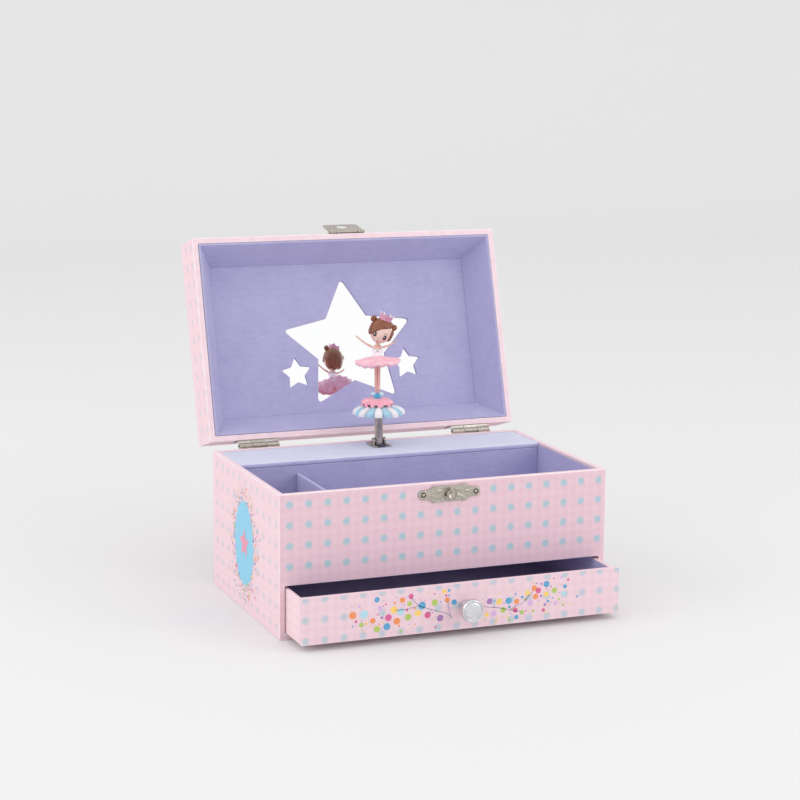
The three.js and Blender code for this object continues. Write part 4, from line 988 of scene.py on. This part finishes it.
ruffle = {"count": 11, "inner": 2.2, "outer": 11.0, "foot": 30.4, "top": 34.6}


def ruffleWave(angle, share):
    fold = math.sin(angle * ruffle["count"] + 0.8 * math.sin(angle * 3))
    second = math.sin(angle * (ruffle["count"] * 2 + 1) + 1.3)
    return 0.75 * share * second, share * (1.15 * fold + 0.3 * second)


def ruffleCurve(share):
    radius = ruffle["inner"] + (ruffle["outer"] - ruffle["inner"]) * math.sin(share * math.pi / 2) ** 0.9
    return radius, ruffle["top"] - (ruffle["top"] - ruffle["foot"]) * share ** 1.7


ruffleCloth = clothMaterial("ruffle_cloth", "FFC8D4", "F6A6BA")
ruffles = clothPiece("ruffle_cloth_band", pleatedRing(curveOf(17, ruffleCurve), 198, ruffleWave), 0.45 * mm,
                     besideSpindle, ruffleCloth)
finishPiece(ruffles, "dancer", "rose_cloth", "ruffle")
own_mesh(ruffles)

tutu = {"count": 15, "inner": 2.2, "outer": 15.4, "waist": 66.3, "rim": 62.3, "tip": 0.7}


def tutuWave(angle, share):
    pleat = math.sin(angle * tutu["count"] + 0.9 * math.sin(2 * angle))
    slow = math.sin(angle * 4 + 0.5)
    out = share ** 2 * (0.45 * pleat + 0.5 * slow)
    return out, share ** 1.4 * (0.55 * pleat + 0.55 * slow) + tutu["tip"] * share * math.cos(angle)


def tutuCurve(share):
    # out to the rim, then a curl turned under it
    if share < 0.8:
        along = share / 0.8
        return (tutu["inner"] + (tutu["outer"] - tutu["inner"]) * along,
                tutu["waist"] - (tutu["waist"] - tutu["rim"]) * along ** 0.85)
    curl = (share - 0.8) / 0.2 * math.pi * 0.75
    return (tutu["outer"] + 1.3 * math.sin(curl) - 0.9 * (1 - math.cos(curl)),
            tutu["rim"] - 1.35 * (1 - math.cos(curl)))


tutuCloth = clothMaterial("tutu_cloth", "FBD3DD", "F3B0C2")
tutuRing = clothPiece("tutu_cloth_skirt", pleatedRing(curveOf(25, tutuCurve), 225, tutuWave), 0.5 * mm,
                      besideSpindle, tutuCloth)
finishPiece(tutuRing, "dancer", "rose_cloth", "tutu")
print("skirts made")

skinPaint = paintMaterial("skin_enamel", "F1C9BC", "E6B1A4", 0.4)
legPaint = paintMaterial("tights_enamel", "F3BFB6", "E6A59D", 0.42)
whitePaint = paintMaterial("bodice_enamel", "FBFAFC", "EDEBF1", 0.35)
hairPaint = paintMaterial("hair_enamel", "A2613F", "6A3620", 0.35, 900)
crownPaint = paintMaterial("crown_enamel", "E9A9C0", "CF86A6", 0.3, 500, 0.4)
pearlPaint = paintMaterial("pearl_enamel", "FFFDFB", "F3EDEE", 0.2, 400, 0.6)
darkPaint = paintMaterial("eye_enamel", "33221F", "1B1110", 0.25, 900, 0.6)
lipPaint = paintMaterial("lip_enamel", "D9626E", "C24B5A", 0.35)
gemPaint = metalMaterial("gem_silver", "C9CED6", "8F959E", 0.15)
skyPaint = clothMaterial("ribbon_satin", "5FB6DA", "3C97C2")
paleRibbon = clothMaterial("ribbon_satin_pale", "D9EEF6", "B5DCEC")


def sculpted(name, mesh, body, slotName, *materials, levels=1, sharpDeg=80, replaced=(), at=besideSpindle):
    piece = linkPiece(name, placed(mesh, at), *materials)
    if levels:
        subdivided(piece, levels)
    smoothFaces(piece, sharpDeg)
    return finishPiece(piece, body, slotName, *replaced)


# bow: a knot and two loops
bow = {"middle": 36.2, "knot": (2.5, 2.5, 2.1), "loop": (2.3, 1.2, 1.6), "loopAside": 2.6, "loopRise": 1.7}
knot = ellipsoid((0, -0.4 * mm, bow["middle"] * mm), [r * mm for r in bow["knot"]], 20, 12,
                 lambda way: 1 + 0.12 * (way.x ** 4 + way.y ** 4 + way.z ** 4) - 0.05 * math.cos(9 * way.z))
sculpted("ribbon_knot", knot, "dancer", "sky_ribbon", skyPaint, levels=0, replaced=("bow",))
loops = []
for side in (-1, 1):
    loopMiddle = Vector((side * bow["loopAside"], -0.2, bow["middle"] + bow["loopRise"])) * mm
    loops.append(ellipsoid(loopMiddle, [r * mm for r in bow["loop"]], 18, 10,
                           lambda way: 1 - 0.25 * max(0, -side * way.x) + 0.05 * math.cos(8 * way.z)))
sculpted("ribbon_loops", joinMeshes(*loops), "dancer", "sky_ribbon", paleRibbon, levels=0)

# legs: two tapered legs side by side, on points of the toes
legs = {"foot": 38.6, "top": 60.5, "apart": 1.12,
        "line": [(0.0, 0.35), (0.06, 0.85), (0.18, 0.95), (0.42, 1.22), (0.6, 1.02), (0.68, 1.12), (1.0, 1.3)]}


def legMesh(side):
    path, radii = [], []
    for share, radius in legs["line"]:
        height = legs["foot"] + (legs["top"] - legs["foot"]) * share
        path.append(Vector((side * legs["apart"] * (0.86 + 0.14 * share), 0, height)) * mm)
        radii.append(radius * mm)
    return tubeMesh(path, radii, 14)


sculpted("dancer_legs", joinMeshes(legMesh(-1), legMesh(1)), "dancer", "skin_paint", legPaint,
         replaced=("legs",))

# torso: a fitted bodice, bare shoulders and neck, a small jewel, and two raised arms
torso = {"waist": 65.9, "line": [(0.0, 0.0), (3.1, 0.0), (2.9, 1.2), (3.2, 2.6), (3.9, 4.2), (4.25, 5.6)],
         "chest": [(4.05, 5.5), (3.95, 6.3), (3.2, 7.4), (1.8, 8.2), (1.45, 8.9), (1.45, 10.2), (0.0, 10.2)],
         "strap": [(2.7, -2.7, 5.3), (3.0, -2.2, 6.4), (3.05, -1.0, 7.2), (3.0, 0.7, 7.1), (2.8, 2.2, 5.9)],
         "strapRadius": 0.42, "shoulder": (3.5, 6.4), "leftHand": (-14.4, -0.6, 79.4),
         "rightHand": (12.6, -1.2, 76.6), "armRadii": (0.95, 0.85, 0.68, 0.62, 0.5, 0.72, 0.3)}


def flattened(mesh, depth=0.78):
    for point in mesh.vertices:
        point.co.y *= depth
    return mesh


def heightLine(line, base):
    return [(radius * mm, (base + height) * mm) for radius, height in line]


bodice = flattened(lathe(heightLine(torso["line"] + [(0.0, 5.7)], torso["waist"]), 32))
chest = flattened(lathe(heightLine([(0.0, 5.2)] + torso["chest"], torso["waist"]), 32))
sculpted("bodice", bodice, "dancer", "white_paint", whitePaint, replaced=("torso",))
sculpted("chest_and_neck", chest, "dancer", "skin_paint", skinPaint)
straps = []
for side in (-1, 1):
    path = [Vector((side * x, y, torso["waist"] + z)) * mm for x, y, z in torso["strap"]]
    straps.append(tubeMesh(path, [torso["strapRadius"] * mm] * len(path), 8))
sculpted("bodice_straps", joinMeshes(*straps), "dancer", "white_paint", whitePaint)
jewel = ellipsoid((0, -3.1 * mm, (torso["waist"] + 4.3) * mm), (0.75 * mm, 0.4 * mm, 0.75 * mm), 12, 8)
sculpted("bodice_jewel", jewel, "dancer", "plated_metal", gemPaint, levels=0)
arms = []
for side, hand in ((-1, "leftHand"), (1, "rightHand")):
    shoulder = Vector((side * torso["shoulder"][0], 0, torso["waist"] + torso["shoulder"][1]))
    wrist = Vector(torso[hand])
    elbow = shoulder.lerp(wrist, 0.48) + Vector((0, -0.5, -0.55))
    finger = wrist + (wrist - elbow).normalized() * 1.9 + Vector((0, 0, 0.5))
    path = [shoulder, shoulder.lerp(elbow, 0.5), elbow, elbow.lerp(wrist, 0.6), wrist,
            wrist.lerp(finger, 0.5), finger]
    arms.append(tubeMesh([p * mm for p in path], [r * mm for r in torso["armRadii"]], 12))
sculpted("dancer_arms", joinMeshes(*arms), "dancer", "skin_paint", skinPaint)

# head, made upright about its own middle and then tipped
head = {"middle": (1.3, 0, 84.0), "radii": (8.2, 7.8, 9.2), "cheek": (4.9, -5.6, -4.6), "cheekBlur": (2.6, 0.4),
        "buns": [(-8.4, 6.6, 2.3), (7.6, 6.0, 2.2)]}
headTurn = onSpindle @ Matrix.Translation(Vector(head["middle"]) * mm) @ Matrix.Rotation(
    math.radians(figure["headTiltDeg"]), 4, "Y")
headRadii = Vector(head["radii"]) * mm


def skullShape(way):
    chin = max(0, -way.z) ** 2
    return 1 - 0.07 * chin * (1 - max(0, -way.y)) - 0.03 * max(0, -way.z) * abs(way.x)


# face paint, with a blush on each cheek
blush, blushTree, blushShader = newMaterial("face_enamel", "F4D2C6", 0.38)
blushShader.inputs["Coat Weight"].default_value = 0.2
blushPlace = addNode(blushTree, "ShaderNodeTexCoord").outputs["Object"]
cheeks = None
for side in (-1, 1):
    aside, ahead, up = head["cheek"]
    spot = headTurn @ (Vector((side * aside, ahead, up)) * mm)
    away = vectorCalc(blushTree, "LENGTH", vectorCalc(blushTree, "SUBTRACT", blushPlace, tuple(spot)))
    glow = between(blushTree, away, head["cheekBlur"][0] * mm, head["cheekBlur"][1] * mm, 0.0, 0.75)
    cheeks = glow if cheeks is None else calc(blushTree, "MAXIMUM", cheeks, glow)
skinCloud = noise(blushTree, blushPlace, 300, 3)
faceTone = mixColour(blushTree, between(blushTree, skinCloud, 0.3, 0.7), tone("F5D6CB"), tone("EFC6B8"))
setLook(blushTree, blushShader, mixColour(blushTree, cheeks, faceTone, tone("EE9D9C")),
        between(blushTree, skinCloud, 0.3, 0.7, 0.32, 0.45), skinCloud, 0.05, 0.0002)
sculpted("dancer_head", ellipsoid((0, 0, 0), headRadii, 40, 26, skullShape), "dancer", "skin_paint", blush,
         replaced=("head",), at=headTurn)
nose = ellipsoid((-0.1 * mm, -7.55 * mm, -3.6 * mm), (0.55 * mm, 0.6 * mm, 0.5 * mm), 12, 8)
ears = [ellipsoid((side * 7.6 * mm, 0.3 * mm, -3.4 * mm), (0.8 * mm, 1.1 * mm, 1.5 * mm), 12, 8)
        for side in (-1, 1)]
sculpted("nose_and_ears", joinMeshes(nose, *ears), "dancer", "skin_paint", skinPaint, levels=0, at=headTurn)


def hairEdge(way):
    # over 0 where hair grows: a swept fringe over the forehead, and down behind the ears
    fringe = way.z - (0.30 + 0.30 * way.x - 0.75 * (way.x - 0.12) ** 2 * (1 if way.x < 0.12 else -0.1))
    sideHair = abs(way.x) - 0.80
    backHair = way.y - 0.05
    front = max(fringe, sideHair) if way.z > -0.42 else -1
    back = backHair if way.z > -0.62 else -1
    return max(front, min(back, way.z + 0.62))


def hairShape(way):
    grown = min(1, max(0, hairEdge(way) / 0.10))
    soft = grown * grown * (3 - 2 * grown)
    strand = math.atan2(way.x, way.z + 0.15) * 26 + 5 * way.y
    lock = 0.016 * math.sin(strand) + 0.01 * math.sin(strand * 0.41 + 1)
    return 0.965 + soft * (0.155 + lock)


hairMesh = ellipsoid((0, 0.1 * mm, 0.1 * mm), headRadii, 128, 84, hairShape)
buns = []
for x, z, size in head["buns"]:
    buns.append(ellipsoid((x * mm, 0.8 * mm, z * mm), (size * mm, size * 0.95 * mm, size * mm), 40, 26,
                          lambda way: 1 + 0.035 * math.sin(6 * math.atan2(way.z, way.x) + 14 * way.y)))
sculpted("dancer_hair", joinMeshes(hairMesh, *buns), "dancer", "hair_paint", hairPaint, levels=0,
         replaced=("hair",), at=headTurn)


def facePatch(x, z, halfWidth, halfHeight, tiltDeg=0, lift=0.08):
    # a painted mark that follows the curve of the face
    tilt = math.radians(tiltDeg)
    points = []
    for ring in range(5):
        for step in range(20):
            angle = 2 * math.pi * step / 20
            u = math.cos(angle) * halfWidth * ring / 4
            v = math.sin(angle) * halfHeight * ring / 4
            px = x + u * math.cos(tilt) - v * math.sin(tilt)
            pz = z + u * math.sin(tilt) + v * math.cos(tilt)
            way = Vector((px / head["radii"][0], 0, pz / head["radii"][2]))
            for _ in range(6):
                size = skullShape(Vector((way.x, -math.sqrt(max(0.02, 1 - way.x ** 2 - way.z ** 2)), way.z)))
                way.x, way.z = px / head["radii"][0] / size, pz / head["radii"][2] / size
            depth = math.sqrt(max(0.02, 1 - way.x ** 2 - way.z ** 2)) * head["radii"][1] * size
            points.append(Vector((px, -depth - lift, pz)) * mm)
    return meshFrom(points, bandFaces(5, 20))


# each mark by its place beside and above the head's middle, half sizes, tilt and lift
eyePatches, browPatches, glintPatches = [], [], []
for side in (-1, 1):
    eyePatches.append(facePatch(side * 3.75, -2.7, 1.25, 1.6))
    browPatches.append(facePatch(side * 3.9, 0.5, 1.4, 0.18, side * -12, 0.1))
    glintPatches.append(facePatch(side * 3.75 - 0.45, -2.2, 0.38, 0.45, 0, 0.14))
for side in (-1, 1):
    eyePatches.append(facePatch(side * 3.95, -1.1, 1.5, 0.3, side * -14, 0.1))
for part, patches, slotName, paint in (
        ("eyes", eyePatches, "hair_paint", darkPaint), ("brows", browPatches, "hair_paint", hairPaint),
        ("glints", glintPatches, "white_paint", pearlPaint),
        ("lips", [facePatch(-0.05, -7.0, 0.85, 0.38, 0, 0.1)], "skin_paint", lipPaint)):
    sculpted("painted_" + part, joinMeshes(*patches), "dancer", slotName, paint, levels=0, at=headTurn)

# crown: a flared band with points, and a pearl on each
crown = {"foot": 8.9, "footRadius": 4.0, "topRadius": 4.9, "height": 3.5, "points": 6, "pointRise": 0.7,
         "forward": -1.0, "beside": -0.6, "pearl": 0.62}


def crownSpot(radius, angle, height):
    return Vector((radius * math.cos(angle) + crown["beside"], radius * math.sin(angle) * 0.9 + crown["forward"],
                   height)) * mm


crownPoints = []
for row in range(7):
    share = row / 6
    for step in range(96):
        angle = 2 * math.pi * step / 96
        peak = abs(math.cos(angle * crown["points"] / 2)) ** 1.5
        radius = crown["footRadius"] + (crown["topRadius"] - crown["footRadius"]) * share ** 1.3
        height = crown["foot"] + crown["height"] * share + crown["pointRise"] * (2 * peak - 1.2) * share
        crownPoints.append(crownSpot(radius, angle, height))
crownMesh = meshFrom(crownPoints, bandFaces(7, 96, outward=False), outward=False)
crownPiece = thickened(linkPiece("dancer_crown", placed(crownMesh, headTurn), crownPaint), 0.55 * mm)
smoothFaces(crownPiece, 60)
finishPiece(crownPiece, "dancer", "crown_gilt", "crown")
pearlHeight = crown["foot"] + crown["height"] + crown["pointRise"] * 0.8 + 0.35
pearlSpots = [headTurn @ crownSpot(crown["topRadius"], 2 * math.pi * step / crown["points"], pearlHeight)
              for step in range(crown["points"])]
setNails("crown_pearls", pearlSpots, (0, 0, 1), "dancer", pearlPaint, "crown_gilt", crown["pearl"] * mm,
         crown["pearl"] * mm)
print("dancer made")


# camera
camera = {"place": (-0.5380, -1.3293, 0.4053), "yawDeg": 21.84, "pitchDeg": 10.41, "rollDeg": 0.47, "lens": 93.15,
          "sensor": 36}
yaw, pitch, roll = (math.radians(camera[key]) for key in ("yawDeg", "pitchDeg", "rollDeg"))
forward = Vector((math.sin(yaw) * math.cos(pitch), math.cos(yaw) * math.cos(pitch), -math.sin(pitch)))
level = Vector((math.cos(yaw), -math.sin(yaw), 0))
down = forward.cross(level)
right = level * math.cos(roll) - down * math.sin(roll)
down = level * math.sin(roll) + down * math.cos(roll)
cameraData = bpy.data.cameras.new("camera")
cameraData.lens = camera["lens"]
cameraData.sensor_width = camera["sensor"]
cameraObject = bpy.data.objects.new("camera", cameraData)
bpy.context.scene.collection.objects.link(cameraObject)
turn = Matrix((right, -down, -forward)).transposed()
cameraObject.matrix_world = Matrix.Translation(camera["place"]) @ turn.to_4x4()
bpy.context.scene.camera = cameraObject


# floor, backdrop and light
stage = {"tone": "E9E9E9", "halfWidth": 5.0, "front": -3.0, "back": 2.2, "bend": 1.0, "height": 3.5}
profile = [(stage["front"], 0.0), (stage["back"], 0.0)]
for step in range(1, 17):
    angle = math.pi / 2 * step / 16
    profile.append((stage["back"] + stage["bend"] * math.sin(angle), stage["bend"] * (1 - math.cos(angle))))
profile.append((stage["back"] + stage["bend"], stage["height"]))
sweepPoints = [(x, y, z) for y, z in profile for x in (-stage["halfWidth"], stage["halfWidth"])]
sweepFaces = [(2 * i, 2 * i + 1, 2 * i + 3, 2 * i + 2) for i in range(len(profile) - 1)]
floorMaterial, floorTree, floorShader = newMaterial("studio_sweep", stage["tone"], 0.9)
floorShader.inputs["Specular IOR Level"].default_value = 0.1
sweep = linkPiece("studio_floor", meshFrom(sweepPoints, sweepFaces, outward=False), floorMaterial)
for face in sweep.data.polygons:
    face.use_smooth = True

world = bpy.data.worlds.new("studio")
bpy.context.scene.world = world
world.use_nodes = True
world.node_tree.nodes["Background"].inputs["Color"].default_value = (1, 1, 1, 1)
world.node_tree.nodes["Background"].inputs["Strength"].default_value = 1.0
aim = Vector((0, 0.02, 0.1))
lamps = {
    "left": {"place": (-1.5, 0.1, 1.0), "size": 1.2, "power": 5},
    "right": {"place": (1.0, -1.05, 0.6), "size": 0.7, "power": 3},
}
for lampName, look in lamps.items():
    lampData = bpy.data.lights.new(lampName, "AREA")
    lampData.size = look["size"]
    lampData.energy = look["power"]
    lamp = bpy.data.objects.new(lampName, lampData)
    bpy.context.scene.collection.objects.link(lamp)
    lamp.location = look["place"]
    lamp.rotation_euler = (aim - Vector(look["place"])).to_track_quat("-Z", "Y").to_euler()
bpy.context.scene.view_settings.view_transform = "Standard"
print("camera and light ready")
